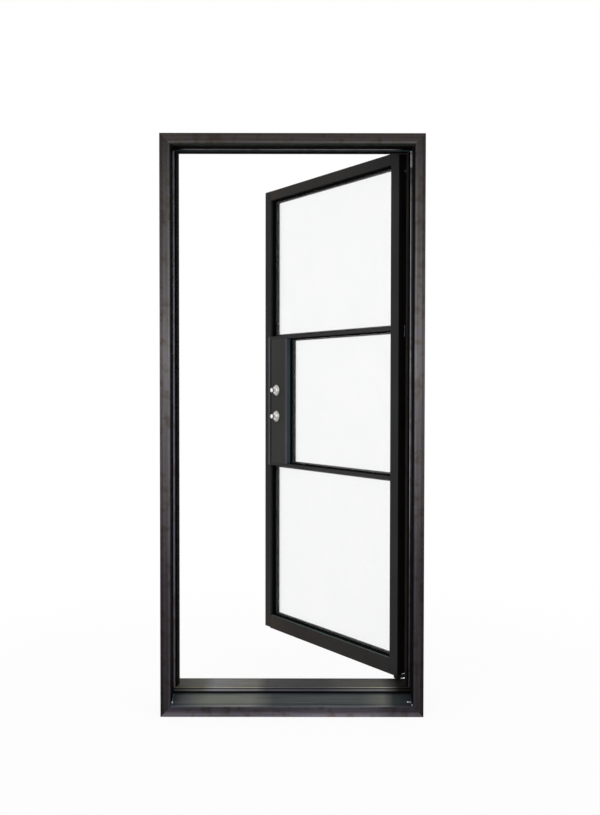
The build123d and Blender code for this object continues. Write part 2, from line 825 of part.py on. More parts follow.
# Spindles, roses and knobs: the same turned pieces on both faces of each lock
knob_inner = rose_height + knob_rose_gap
knob_back = knob_inner + neck_length
knob_outer = knob_back + knob_length
spindle_front_y = lock_front_y - knob_inner - knob_bore_depth
spindle_rear_y = lock_rear_y + knob_inner + knob_bore_depth
for lock_name, height, crank, tilt in (
    ("deadbolt", deadbolt_height, deadbolt_crank, deadbolt_tilt),
    ("latch", latch_height, latch_crank, latch_tilt),
):
    with BuildPart() as spindle:
        crank_spindle(height, crank, tilt)
    save(spindle, f"{lock_name}_spindle")

    for face_name, face_y, outwards in (("front", lock_front_y, -1), ("rear", lock_rear_y, 1)):
        bore = spindle_radius + rose_bore_clearance
        with BuildPart() as rose:
            turned(
                height,
                [
                    (face_y, bore, 0),
                    (face_y, rose_radius, 0),
                    (face_y + outwards * rose_rim, rose_radius, 0),
                    (face_y + outwards * rose_height, rose_top_radius, rose_round),
                    (face_y + outwards * rose_height, bore, 0),
                ],
            )
        save(rose, f"{lock_name}_{face_name}_rose")

        socket = spindle_radius + knob_bore_clearance
        with BuildPart() as knob:
            turned(
                height,
                [
                    (face_y + outwards * knob_inner, socket, 0),
                    (face_y + outwards * knob_inner, neck_radius, 0),
                    (face_y + outwards * knob_back, neck_radius, 0),
                    (face_y + outwards * knob_back, knob_radius - knob_chamfer, 0),
                    (face_y + outwards * (knob_back + knob_chamfer), knob_radius, 0),
                    (face_y + outwards * knob_outer, knob_radius, knob_round),
                    (face_y + outwards * knob_outer, 0, 0),
                    (face_y + outwards * (knob_inner + knob_bore_depth), 0, 0),
                    (face_y + outwards * (knob_inner + knob_bore_depth), socket, 0),
                ],
            )
        save(knob, f"{lock_name}_{face_name}_knob")
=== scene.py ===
import json
import math

import bpy
from mathutils import Matrix, Vector


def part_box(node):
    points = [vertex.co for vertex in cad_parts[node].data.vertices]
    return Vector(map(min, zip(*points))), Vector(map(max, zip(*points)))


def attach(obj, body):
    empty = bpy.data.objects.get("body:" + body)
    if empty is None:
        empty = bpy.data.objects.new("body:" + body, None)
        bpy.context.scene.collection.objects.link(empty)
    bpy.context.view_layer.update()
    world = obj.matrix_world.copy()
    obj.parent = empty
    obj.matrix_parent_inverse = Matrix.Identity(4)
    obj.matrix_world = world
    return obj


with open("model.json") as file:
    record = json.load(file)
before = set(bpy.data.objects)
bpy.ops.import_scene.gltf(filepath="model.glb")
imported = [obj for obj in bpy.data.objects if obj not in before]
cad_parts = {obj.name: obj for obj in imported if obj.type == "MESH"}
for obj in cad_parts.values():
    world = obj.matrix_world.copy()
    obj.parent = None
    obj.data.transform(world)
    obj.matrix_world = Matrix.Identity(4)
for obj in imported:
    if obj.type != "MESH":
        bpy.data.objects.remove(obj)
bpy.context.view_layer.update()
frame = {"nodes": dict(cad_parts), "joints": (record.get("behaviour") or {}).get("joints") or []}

# Frame members: two jambs, a head and a sill of one hollow folded steel section, mitred and welded.
# Their front faces are brushed along their length and lacquered dark, with a painted reflection and
# painted highlights; the returns are sprayed black, partly as painted shade.
mm = 0.001
jamb_low, jamb_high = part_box("right_jamb")
frame_front = jamb_low.y
frame_rear = jamb_high.y
frame_half_width = jamb_high.x
frame_height = jamb_high.z
inner_edge = jamb_low.x
face_width = frame_half_width - inner_edge
return_depth = 60 * mm


def linear(colour):
    """An sRGB hex colour as linear red, green, blue and alpha."""
    shares = [int(colour[place:place + 2], 16) / 255 for place in (1, 3, 5)]
    return [s / 12.92 if s <= 0.04045 else ((s + 0.055) / 1.055) ** 2.4 for s in shares] + [1.0]


def add_node(tree, kind, inputs=None, stops=None, **settings):
    """Adds a node with its settings; an input is a value or the output socket that feeds it.

    The first two stops of a colour ramp set the two that it comes with, and the rest are added.
    """
    node = tree.nodes.new(kind)
    for name, value in settings.items():
        setattr(node, name, value)
    for name, value in (inputs or {}).items():
        if isinstance(value, bpy.types.NodeSocket):
            tree.links.new(value, node.inputs[name])
        else:
            node.inputs[name].default_value = value
    for number, (position, colour) in enumerate(stops or ()):
        elements = node.color_ramp.elements
        stop = elements[number] if number < 2 else elements.new(position)
        stop.position = position
        stop.color = linear(colour)
    return node


def new_material(name):
    """An empty node material and its tree."""
    material = bpy.data.materials.new(name)
    material.use_nodes = True
    material.node_tree.nodes.clear()
    return material, material.node_tree


def dress(material, *nodes):
    """Gives CAD nodes their finish."""
    for node in nodes:
        slots = frame["nodes"][node].data.materials
        slots.clear()
        slots.append(material)


# A Mix node of colours takes its share at input 0 and its colours at 6 and 7, and gives output 2.
# A Mix node of numbers takes them at inputs 2 and 3, and gives output 0.
multiply = {"data_type": "RGBA", "blend_type": "MULTIPLY"}

# Real brush marks are finer than a millimetre; these are drawn wider, so that they show.
brush_width = 8 * mm
brush_length = 420 * mm
sill_brush_length = 300 * mm
brush_depth = 0.3 * mm
mottle_size = 34 * mm
edge_start = 0.4 * mm
edge_end = 1.2 * mm
coat_colour = "#343132"
sprayed_roughness = 0.96


def faced_steel(name, brush, face_at, rise, face_painted_light_stops, return_paint_and_painted_light_stops, across=None):
    """Lacquered steel: a brushed face at one depth and darker returns behind it.

    Brush is the size of a brush mark along X, Y and Z. Face stops run up the rise, return stops back from
    the face; across holds the start, end and stops of a tone over the face's width. The face stops and the
    tone across carry painted highlights, painted reflections and painted shade; the return stops carry the
    returns' paint with painted shade and painted reflections. The brush marks give long soft streaks and
    the mottling a brownish cast. The frame's outer sides, top and back wear a plain charcoal coat.
    """
    steel, tree = new_material(name)
    place = add_node(tree, "ShaderNodeTexCoord").outputs["Object"]
    apart = add_node(tree, "ShaderNodeSeparateXYZ", {"Vector": place}).outputs
    marks = add_node(tree, "ShaderNodeMapping", {"Vector": place, "Scale": [1 / size for size in brush]})
    streak = add_node(tree, "ShaderNodeTexNoise", {
        "Vector": marks.outputs[0], "Scale": 1.0, "Detail": 4.0, "Roughness": 0.6}).outputs[0]
    cloud = add_node(tree, "ShaderNodeTexNoise", {
        "Vector": place, "Scale": 1 / mottle_size, "Detail": 5.0}).outputs[0]
    level = add_node(tree, "ShaderNodeMapRange", {
        "Value": apart["Z"], "From Min": rise[0], "From Max": rise[1]}).outputs[0]
    tone = add_node(tree, "ShaderNodeValToRGB", {"Fac": level}, face_painted_light_stops).outputs[0]
    patina = add_node(tree, "ShaderNodeValToRGB", {"Fac": cloud}, [
        (0.34, "#dccec5"), (0.66, "#f4ecf8"), (0.5, "#f6f6f2")]).outputs[0]
    face = add_node(tree, "ShaderNodeMix", {0: 1.0, 6: tone, 7: patina}, **multiply).outputs[2]
    if across:
        begin, finish, width_tone_and_painted_light_stops = across
        width_share = add_node(tree, "ShaderNodeMapRange", {
            "Value": apart["X"], "From Min": begin, "From Max": finish}).outputs[0]
        width_tone_and_painted_light = add_node(tree, "ShaderNodeValToRGB", {"Fac": width_share}, width_tone_and_painted_light_stops).outputs[0]
        face = add_node(tree, "ShaderNodeMix", {0: 1.0, 6: face, 7: width_tone_and_painted_light}, **multiply).outputs[2]
    shade = add_node(tree, "ShaderNodeMapRange", {
        "Value": streak, "From Min": 0.25, "From Max": 0.75, "To Min": 0.66, "To Max": 1.34}).outputs[0]
    face = add_node(tree, "ShaderNodeMix", {0: 1.0, 6: face, 7: shade}, **multiply).outputs[2]
    behind = add_node(tree, "ShaderNodeMapRange", {
        "Value": apart["Y"], "From Min": face_at, "From Max": face_at + return_depth}).outputs[0]
    black = add_node(tree, "ShaderNodeValToRGB", {"Fac": behind}, return_paint_and_painted_light_stops).outputs[0]
    patchy = add_node(tree, "ShaderNodeMapRange", {
        "Value": cloud, "From Min": 0.3, "From Max": 0.7, "To Min": 0.7, "To Max": 1.3}).outputs[0]
    sprayed = add_node(tree, "ShaderNodeMix", {0: 1.0, 6: black, 7: patchy}, **multiply).outputs[2]
    wide = add_node(tree, "ShaderNodeMath", {0: apart["X"]}, operation="ABSOLUTE").outputs[0]
    outside = 0.0
    for spot, plane in ((wide, frame_half_width), (apart["Y"], frame_rear), (apart["Z"], frame_height)):
        reached = add_node(tree, "ShaderNodeMapRange", {
            "Value": spot, "From Min": plane - edge_end, "From Max": plane - edge_start}).outputs[0]
        outside = add_node(tree, "ShaderNodeMath", {0: outside, 1: reached}, operation="MAXIMUM").outputs[0]
    coat = add_node(tree, "ShaderNodeMix", {
        0: 1.0, 6: linear(coat_colour), 7: patina}, **multiply).outputs[2]
    coat = add_node(tree, "ShaderNodeMix", {0: 1.0, 6: coat, 7: shade}, **multiply).outputs[2]
    sprayed = add_node(tree, "ShaderNodeMix", {
        0: outside, 6: sprayed, 7: coat}, data_type="RGBA").outputs[2]
    front = add_node(tree, "ShaderNodeMapRange", {
        "Value": apart["Y"], "From Min": face_at + edge_start, "From Max": face_at + edge_end,
        "To Min": 1.0, "To Max": 0.0}).outputs[0]
    colour = add_node(tree, "ShaderNodeMix", {0: front, 6: sprayed, 7: face}, data_type="RGBA").outputs[2]
    satin = add_node(tree, "ShaderNodeMapRange", {
        "Value": streak, "To Min": 0.36, "To Max": 0.6}).outputs[0]
    sheen = add_node(tree, "ShaderNodeMix", {
        0: front, 2: sprayed_roughness, 3: satin}, data_type="FLOAT").outputs[0]
    grain = add_node(tree, "ShaderNodeBump", {"Height": streak, "Strength": 0.12, "Distance": brush_depth})
    shader = add_node(tree, "ShaderNodeBsdfPrincipled", {
        "Base Color": colour, "Roughness": sheen, "Normal": grain.outputs[0], "Specular IOR Level": 0.03})
    add_node(tree, "ShaderNodeOutputMaterial", {"Surface": shader.outputs[0]})
    return steel


# The jamb faces carry a painted reflection up their height, lightest at about 1.3 m, and across their width
# a painted highlight near the inner edge and a darker band near the outer edge.
jamb_painted_reflection = [(0.0, "#353234"), (1.0, "#3d3a3b"), (0.24, "#443f44"), (0.62, "#7e7c7e"), (0.82, "#5f5d5d")]
jamb_painted_edge_highlight = [
    (0.0, "#b4b8bb"), (1.0, "#c2b9bf"), (0.05, "#b4b8bb"), (0.09, "#ffffff"), (0.19, "#f4faff"),
    (0.26, "#dad9d6"), (0.68, "#d8d7d4"), (0.73, "#aba8aa"), (0.8, "#aba8aa"), (0.84, "#c4bac1")]
# The returns are sprayed near-black, dark enough to serve as their painted shade as well.
black_paint_and_painted_shade = [(0.0, "#050506"), (1.0, "#080808")]
for side, sign in (("left", -1), ("right", 1)):
    jamb_steel = faced_steel(
        f"brushed_steel_{side}_jamb", brush=(brush_width, brush_width, brush_length), face_at=frame_front,
        rise=(0.0, frame_height), face_painted_light_stops=jamb_painted_reflection, return_paint_and_painted_light_stops=black_paint_and_painted_shade,
        across=(sign * inner_edge, sign * frame_half_width, jamb_painted_edge_highlight))
    dress(jamb_steel, f"{side}_jamb")
# The head's face carries a painted highlight along its lower arris and is darker towards the top; its
# soffit is painted lighter near the front and black deeper in, as painted shade.
head_face_painted_highlight = [
    (0.0, "#383a38"), (1.0, "#2c2827"), (0.07, "#383a38"), (0.11, "#555250"), (0.19, "#555250"),
    (0.26, "#3d3937"), (0.86, "#3b3634"), (0.93, "#2c2827")]
head_soffit_painted_shade = [(0.0, "#2f322f"), (1.0, "#070707"), (0.4, "#262926"), (0.62, "#060606")]
head_steel = faced_steel(
    "brushed_steel_head", brush=(brush_length, brush_width, brush_width), face_at=frame_front,
    rise=(frame_height - face_width, frame_height), face_painted_light_stops=head_face_painted_highlight, return_paint_and_painted_light_stops=head_soffit_painted_shade)
# The sill's face carries a painted reflection of the floor, lighter towards the bottom, and a painted
# highlight along its top arris.
sill_painted_reflection = [
    (0.0, "#807d86"), (1.0, "#3a383d"), (0.3, "#6c6870"), (0.55, "#47434a"), (0.93, "#423f46"),
    (0.97, "#7c7c84")]
sill_across = [
    (0.0, "#dcdcdc"), (1.0, "#c0bfc2"), (0.45, "#e4e4e4"), (0.6, "#ffffff"), (0.8, "#ffffff"),
    (0.88, "#c4c3c6")]
sill_face_steel = faced_steel(
    "brushed_steel_sill_face", brush=(sill_brush_length, brush_width, brush_width), face_at=frame_front,
    rise=(0.0, face_width), face_painted_light_stops=sill_painted_reflection, return_paint_and_painted_light_stops=black_paint_and_painted_shade,
    across=(-frame_half_width, frame_half_width, sill_across))
dress(head_steel, "head")
dress(sill_face_steel, "sill")

# Stop tubes behind the front boxes: small steel tubes, welded in and sprayed black.
# Their narrow front faces carry painted highlights, their sides painted shade at the front and a warm
# painted reflection towards the back. The seals on their backs are black extruded rubber.
stop_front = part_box("head_stop")[0].y
stop_width = 11 * mm
rub_width = 4 * mm
rub_length = 300 * mm
# Painted highlights up each stop's face; near the top of the right stop, a painted reflection.
stop_painted_highlights = {
    "left": [(0.0, "#6a686c"), (1.0, "#6e6d72"), (0.5, "#8f909c")],
    "right": [
        (0.0, "#545256"), (1.0, "#fffff8"), (0.27, "#727074"), (0.48, "#d8d8dc"), (0.9, "#b8b8ba"),
        (0.945, "#6e6d72"), (0.95, "#6e6d72"), (0.9535, "#fffff8")],
}
# A painted highlight line over the inner part of each stop's face.
stop_across_painted_highlight = [(0.0, "#ffffff"), (1.0, "#5c606c"), (0.45, "#ffffff"), (0.58, "#5c606c")]
# Black painted shade at the front of each stop's side, then a warm painted reflection towards the back.
stop_return_painted_reflection = [(0.0, "#040404"), (1.0, "#2c2822"), (0.2, "#040404"), (0.28, "#171512"), (0.55, "#1f1c18")]
for side, start in (("left", -inner_edge), ("right", inner_edge - stop_width)):
    stop_steel = faced_steel(
        f"painted_highlight_steel_{side}_stop", brush=(rub_width, rub_width, rub_length), face_at=stop_front,
        rise=(0.0, frame_height), face_painted_light_stops=stop_painted_highlights[side], return_paint_and_painted_light_stops=stop_return_painted_reflection,
        across=(start, start + stop_width, stop_across_painted_highlight))
    dress(stop_steel, f"{side}_stop")
# The head stop's face is painted light as a highlight line and dark at its ends as shade in the corners;
# behind it, a faint painted light at the front, then black, then a warm painted reflection.
head_stop_return_painted_light = [
    (0.0, "#252e31"), (1.0, "#342b2b"), (0.12, "#252e31"), (0.18, "#040404"), (0.5, "#070606"),
    (0.62, "#342b2b")]
head_stop_corner_painted_shade = [
    (0.0, "#1c1c1c"), (1.0, "#1c1c1c"), (0.025, "#1c1c1c"), (0.05, "#ffffff"), (0.91, "#ffffff"),
    (0.96, "#1c1c1c")]
head_stop_steel = faced_steel(
    "painted_highlight_steel_head_stop", brush=(rub_length, rub_width, rub_width), face_at=stop_front,
    rise=(0.0, frame_height), face_painted_light_stops=[(0.0, "#7a787a"), (1.0, "#7c7a7b")],
    return_paint_and_painted_light_stops=head_stop_return_painted_light, across=(-inner_edge, inner_edge, head_stop_corner_painted_shade))
dress(head_stop_steel, "head_stop")
bloom_size = 30 * mm
skin_size = 1.5 * mm
skin_depth = 0.2 * mm


def extruded_rubber(name):
    """Extruded black rubber: matt, with a dusty bloom and a grained skin, drawn coarse so that it shows."""
    rubber, tree = new_material(name)
    place = add_node(tree, "ShaderNodeTexCoord").outputs["Object"]
    bloom = add_node(tree, "ShaderNodeTexNoise", {
        "Vector": place, "Scale": 1 / bloom_size, "Detail": 5.0}).outputs[0]
    fine = add_node(tree, "ShaderNodeTexNoise", {
        "Vector": place, "Scale": 1 / skin_size, "Detail": 2.0}).outputs[0]
    colour = add_node(tree, "ShaderNodeValToRGB", {"Fac": bloom}, [
        (0.35, "#0b0b0b"), (0.75, "#1d1d1c")]).outputs[0]
    matt = add_node(tree, "ShaderNodeMapRange", {"Value": bloom, "To Min": 0.65, "To Max": 0.9}).outputs[0]
    skin = add_node(tree, "ShaderNodeBump", {"Height": fine, "Strength": 0.15, "Distance": skin_depth})
    shader = add_node(tree, "ShaderNodeBsdfPrincipled", {
        "Base Color": colour, "Roughness": matt, "Normal": skin.outputs[0], "Specular IOR Level": 0.2})
    add_node(tree, "ShaderNodeOutputMaterial", {"Surface": shader.outputs[0]})
    return rubber


seal_rubber = extruded_rubber("extruded_rubber")
dress(seal_rubber, "left_seal", "right_seal", "head_seal")

# Tread and threshold: a sloped tread of folded steel sheet and a raised, hollow threshold behind it.
# Both are worn along their length by feet and darker at the ends; the threshold carries painted
# reflections along it, and both carry painted shade and highlights up their height.
# The tread is welded between the jambs.
# Real scuffs are finer than a millimetre; these are drawn wider, so that they show.
scuff_length = 260 * mm
scuff_width = 5 * mm
scuff_depth = 0.3 * mm


def worn_steel(name, node, stops, painted_light_stops):
    """Worn steel: long scuffs along X, darker ends, painted shade and highlights by height, soft sheen."""
    low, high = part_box(node)
    steel, tree = new_material(name)
    place = add_node(tree, "ShaderNodeTexCoord").outputs["Object"]
    apart = add_node(tree, "ShaderNodeSeparateXYZ", {"Vector": place}).outputs
    marks = add_node(tree, "ShaderNodeMapping", {
        "Vector": place, "Scale": (1 / scuff_length, 1 / scuff_width, 1 / scuff_width)})
    scuff = add_node(tree, "ShaderNodeTexNoise", {
        "Vector": marks.outputs[0], "Scale": 1.0, "Detail": 5.0, "Roughness": 0.65}).outputs[0]
    along = add_node(tree, "ShaderNodeMapRange", {
        "Value": apart["X"], "From Min": -frame_half_width, "From Max": frame_half_width}).outputs[0]
    tone = add_node(tree, "ShaderNodeValToRGB", {"Fac": along}, stops).outputs[0]
    shade = add_node(tree, "ShaderNodeMapRange", {
        "Value": scuff, "From Min": 0.25, "From Max": 0.75, "To Min": 0.6, "To Max": 1.4}).outputs[0]
    level = add_node(tree, "ShaderNodeMapRange", {
        "Value": apart["Z"], "From Min": low.z, "From Max": high.z}).outputs[0]
    painted_light = add_node(tree, "ShaderNodeValToRGB", {"Fac": level}, painted_light_stops).outputs[0]
    tone_and_painted_light = add_node(tree, "ShaderNodeMix", {0: 1.0, 6: tone, 7: painted_light}, **multiply).outputs[2]
    colour = add_node(tree, "ShaderNodeMix", {0: 1.0, 6: tone_and_painted_light, 7: shade}, **multiply).outputs[2]
    sheen = add_node(tree, "ShaderNodeMapRange", {"Value": scuff, "To Min": 0.5, "To Max": 0.8}).outputs[0]
    grain = add_node(tree, "ShaderNodeBump", {"Height": scuff, "Strength": 0.15, "Distance": scuff_depth})
    shader = add_node(tree, "ShaderNodeBsdfPrincipled", {
        "Base Color": colour, "Roughness": sheen, "Normal": grain.outputs[0], "Specular IOR Level": 0.06})
    add_node(tree, "ShaderNodeOutputMaterial", {"Surface": shader.outputs[0]})
    return steel


tread_stops = [
    (0.04, "#383d42"), (0.96, "#272b2e"), (0.1, "#585c5d"), (0.18, "#74766f"), (0.34, "#7a7c77"),
    (0.43, "#4c5052"), (0.76, "#54595a"), (0.85, "#70726d"), (0.89, "#383c3f")]
# Up the tread's slope: a painted highlight at the front arris, a painted shadow line behind it, and painted
# shade at the back under the threshold.
tread_painted_shade_and_highlight = [
    (0.0, "#ffffff"), (1.0, "#a0a2aa"), (0.14, "#ffffff"), (0.2, "#c4c8d0"), (0.36, "#fafaf4"),
    (0.84, "#f4f8f6")]
# Along the threshold: painted reflections in soft light patches, and painted shade at the hinge end.
threshold_painted_reflections_and_shade = [
    (0.04, "#6e6d66"), (0.96, "#22211f"), (0.15, "#908f86"), (0.2, "#bebec0"), (0.36, "#a8a69f"),
    (0.4, "#747477"), (0.62, "#707072"), (0.85, "#a4a39d"), (0.915, "#2e2d2a")]
# Up the threshold: painted shade in the gaps below its nose, and painted highlights on the lip and the
# front arris.
threshold_painted_shade_and_highlight = [
    (0.0, "#101012"), (1.0, "#aaaaa8"), (0.7, "#2c2c30"), (0.77, "#c4c4cc"), (0.86, "#bcbcc4"),
    (0.89, "#26262c"), (0.93, "#e8e4d4"), (0.97, "#fffaec"), (0.99, "#aaaaa8")]
dress(worn_steel("worn_steel_tread", "sill_tread", tread_stops, tread_painted_shade_and_highlight), "sill_tread")
dress(worn_steel("worn_steel_threshold", "threshold", threshold_painted_reflections_and_shade, threshold_painted_shade_and_highlight), "threshold")

# Weld beads: ripples of steel laid by hand where tubes and sheets meet.
# Some are ground bright, some only rubbed, and the rest are painted over with what they join.
# On the frame they close the tread's ends, the head's inner corners and the feet of the hinges.
weld_patch_size = 6 * mm
weld_grit_depth = 0.2 * mm


def weld_finish(name, colours, metal_share):
    """Weld metal: bright and patchy where it is ground, dark where it is painted over."""
    weld, tree = new_material(name)
    place = add_node(tree, "ShaderNodeTexCoord").outputs["Object"]
    patch = add_node(tree, "ShaderNodeTexNoise", {
        "Vector": place, "Scale": 1 / weld_patch_size, "Detail": 4.0}).outputs[0]
    colour = add_node(tree, "ShaderNodeValToRGB", {"Fac": patch}, colours).outputs[0]
    rough = add_node(tree, "ShaderNodeMapRange", {"Value": patch, "To Min": 0.75, "To Max": 0.4}).outputs[0]
    grit = add_node(tree, "ShaderNodeBump", {"Height": patch, "Strength": 0.2, "Distance": weld_grit_depth})
    shader = add_node(tree, "ShaderNodeBsdfPrincipled", {
        "Base Color": colour, "Metallic": metal_share, "Roughness": rough, "Normal": grit.outputs[0],
        "Specular IOR Level": 0.1})
    add_node(tree, "ShaderNodeOutputMaterial", {"Surface": shader.outputs[0]})
    return weld


def tree_input(tree, name, kind):
    """Adds a named input to a Geometry Nodes tree and gives its socket's identifier."""
    return tree.interface.new_socket(name, in_out="INPUT", socket_type=kind).identifier


# Each ripple is a small ball of a slightly different size; Random Value's inputs 2 and 3 are its limits.
ripple_size_shares = (0.86, 1.1)
bead_tree = bpy.data.node_groups.new("weld_bead", "GeometryNodeTree")
tree_input(bead_tree, "Runs", "NodeSocketGeometry")
bead_width_input = tree_input(bead_tree, "Bead width", "NodeSocketFloat")
bead_ripple_input = tree_input(bead_tree, "Ripple spacing", "NodeSocketFloat")
bead_finish_input = tree_input(bead_tree, "Finish", "NodeSocketMaterial")
bead_tree.interface.new_socket("Bead", in_out="OUTPUT", socket_type="NodeSocketGeometry")
given = add_node(bead_tree, "NodeGroupInput").outputs
runs = add_node(bead_tree, "GeometryNodeMeshToCurve", {"Mesh": given["Runs"]})
spaced = add_node(bead_tree, "GeometryNodeResampleCurve", {
    "Curve": runs.outputs[0], "Length": given["Ripple spacing"]}, mode="LENGTH")
tangent = add_node(bead_tree, "GeometryNodeInputTangent")
facing = add_node(bead_tree, "FunctionNodeAlignRotationToVector", {"Vector": tangent.outputs[0]}, axis="Z")
half = add_node(bead_tree, "ShaderNodeMath", {0: given["Bead width"], 1: 0.5}, operation="MULTIPLY")
ripple = add_node(bead_tree, "GeometryNodeMeshUVSphere", {
    "Segments": 10, "Rings": 6, "Radius": half.outputs[0]})
uneven = add_node(bead_tree, "FunctionNodeRandomValue", {
    2: ripple_size_shares[0], 3: ripple_size_shares[1], "Seed": 4}, data_type="FLOAT")
laid = add_node(bead_tree, "GeometryNodeInstanceOnPoints", {
    "Points": spaced.outputs[0], "Instance": ripple.outputs[0], "Rotation": facing.outputs[0],
    "Scale": uneven.outputs[1]})
solid = add_node(bead_tree, "GeometryNodeRealizeInstances", {0: laid.outputs[0]})
finished = add_node(bead_tree, "GeometryNodeSetMaterial", {
    "Geometry": solid.outputs[0], "Material": given["Finish"]})
add_node(bead_tree, "NodeGroupOutput", {0: finished.outputs[0]})


def grown(name, points, edges, tree, inputs, place=None):
    """Runs a Geometry Nodes tree on points and edges, and returns its result as a plain mesh piece."""
    base = bpy.data.meshes.new(name)
    base.from_pydata(points, edges, [])
    piece = bpy.data.objects.new(name, base)
    bpy.context.scene.collection.objects.link(piece)
    grower = piece.modifiers.new(tree.name, "NODES")
    grower.node_group = tree
    for identifier, value in inputs.items():
        grower[identifier] = value
    bpy.context.view_layer.update()
    result = bpy.data.meshes.new_from_object(piece.evaluated_get(bpy.context.evaluated_depsgraph_get()))
    result.name = name
    piece.modifiers.clear()
    piece.data = result
    if place:
        result.transform(place)
    return piece


ripple_spacing_share = 0.55


def weld_runs(name, runs, width, finish, place=None):
    """Weld beads along straight runs, each from one point to another, in millimetres."""
    points = [[value * mm for value in end] for run in runs for end in run]
    edges = [(2 * number, 2 * number + 1) for number in range(len(runs))]
    inputs = {
        bead_width_input: width * mm,
        bead_ripple_input: width * ripple_spacing_share * mm,
        bead_finish_input: finish,
    }
    return grown(name, points, edges, bead_tree, inputs, place)


ground_weld = weld_finish("ground_weld", [(0.35, "#6a6e76"), (0.62, "#dcdee2")], metal_share=0.3)
rubbed_weld = weld_finish("rubbed_weld", [(0.35, "#343944"), (0.62, "#666c7c")], metal_share=0.3)
painted_weld = weld_finish("painted_weld", [(0.35, "#0b0b0b"), (0.62, "#1a191a")], metal_share=0.0)
bead_offset = 0.6
corner_bead_width = 4.0
tack_width = 7.0
jamb_corner = inner_edge / mm - bead_offset
tread_nose = (-85.5, 41.6)
tread_back = (-18.0, 61.4)
left_tread_run = ((-jamb_corner, *tread_nose), (-jamb_corner, *tread_back))
right_tread_run = ((jamb_corner, *tread_nose), (jamb_corner, *tread_back))
head_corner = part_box("head")[0].z / mm - bead_offset
head_corner_span = (-86.0, -16.0)
stop_bead_offset = 0.4
stop_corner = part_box("head_stop")[0].z / mm - stop_bead_offset
stop_arris = (426.2, -8.0)
stop_heel = (421.6, 28.0)
head_runs = []
stop_runs = []
for sign in (-1, 1):
    head_runs.append([(sign * jamb_corner, depth, head_corner) for depth in head_corner_span])
    stop_runs.append([(sign * across, depth, stop_corner) for across, depth in (stop_arris, stop_heel)])
tack_runs = [
    ((-436.4, -72.0, 46.0), (-436.0, -66.0, 47.8)),
    ((421.0, -66.0, 47.2), (431.0, -68.0, 46.8)),
    ((435.4, -84.6, 42.0), (436.4, -82.6, 42.6)),
]
painted_runs = head_runs + stop_runs + [right_tread_run]
tread_welds = weld_runs("tread_welds", [left_tread_run], corner_bead_width, rubbed_weld)
tread_tacks = weld_runs("tread_tacks", tack_runs, tack_width, ground_weld)
corner_welds = weld_runs("corner_welds", painted_runs, corner_bead_width, painted_weld)
frame_beads = ((tread_welds, "bright_steel"), (tread_tacks, "bright_steel"), (corner_welds, "frame_steel"))
for weld, slot in frame_beads:
    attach(weld, "frame")

# Leaf: rectangular steel tube, cut square and welded into a frame with two bars, a mullion and a lock box.
# Sprayed satin charcoal over a fine primer; the reveals of the lights carry painted shade, darker than
# the faces.
# Real orange peel is about a millimetre across; it is drawn wider, so that it shows.
swing = next(joint for joint in frame["joints"] if joint["name"] == "door_swing")
open_turn = math.radians(swing["range_deg"][0])
to_hinge = Matrix.Translation((swing["pos_m"][0], swing["pos_m"][1], 0.0))
leaf_place = to_hinge @ Matrix.Rotation(open_turn, 4, "Z") @ to_hinge.inverted()
leaf_shut = leaf_place.inverted()
leaf_middle = 60 * mm
leaf_half_depth = 24 * mm
reveal_end = 22.2 * mm
face_start = 22.9 * mm
leaf_span = (-450, 453)
lock_stile_span = (-450, -405)
peel_size = 3 * mm
peel_depth = 0.2 * mm
spray_size = 220 * mm
plain_fade = 8 * mm


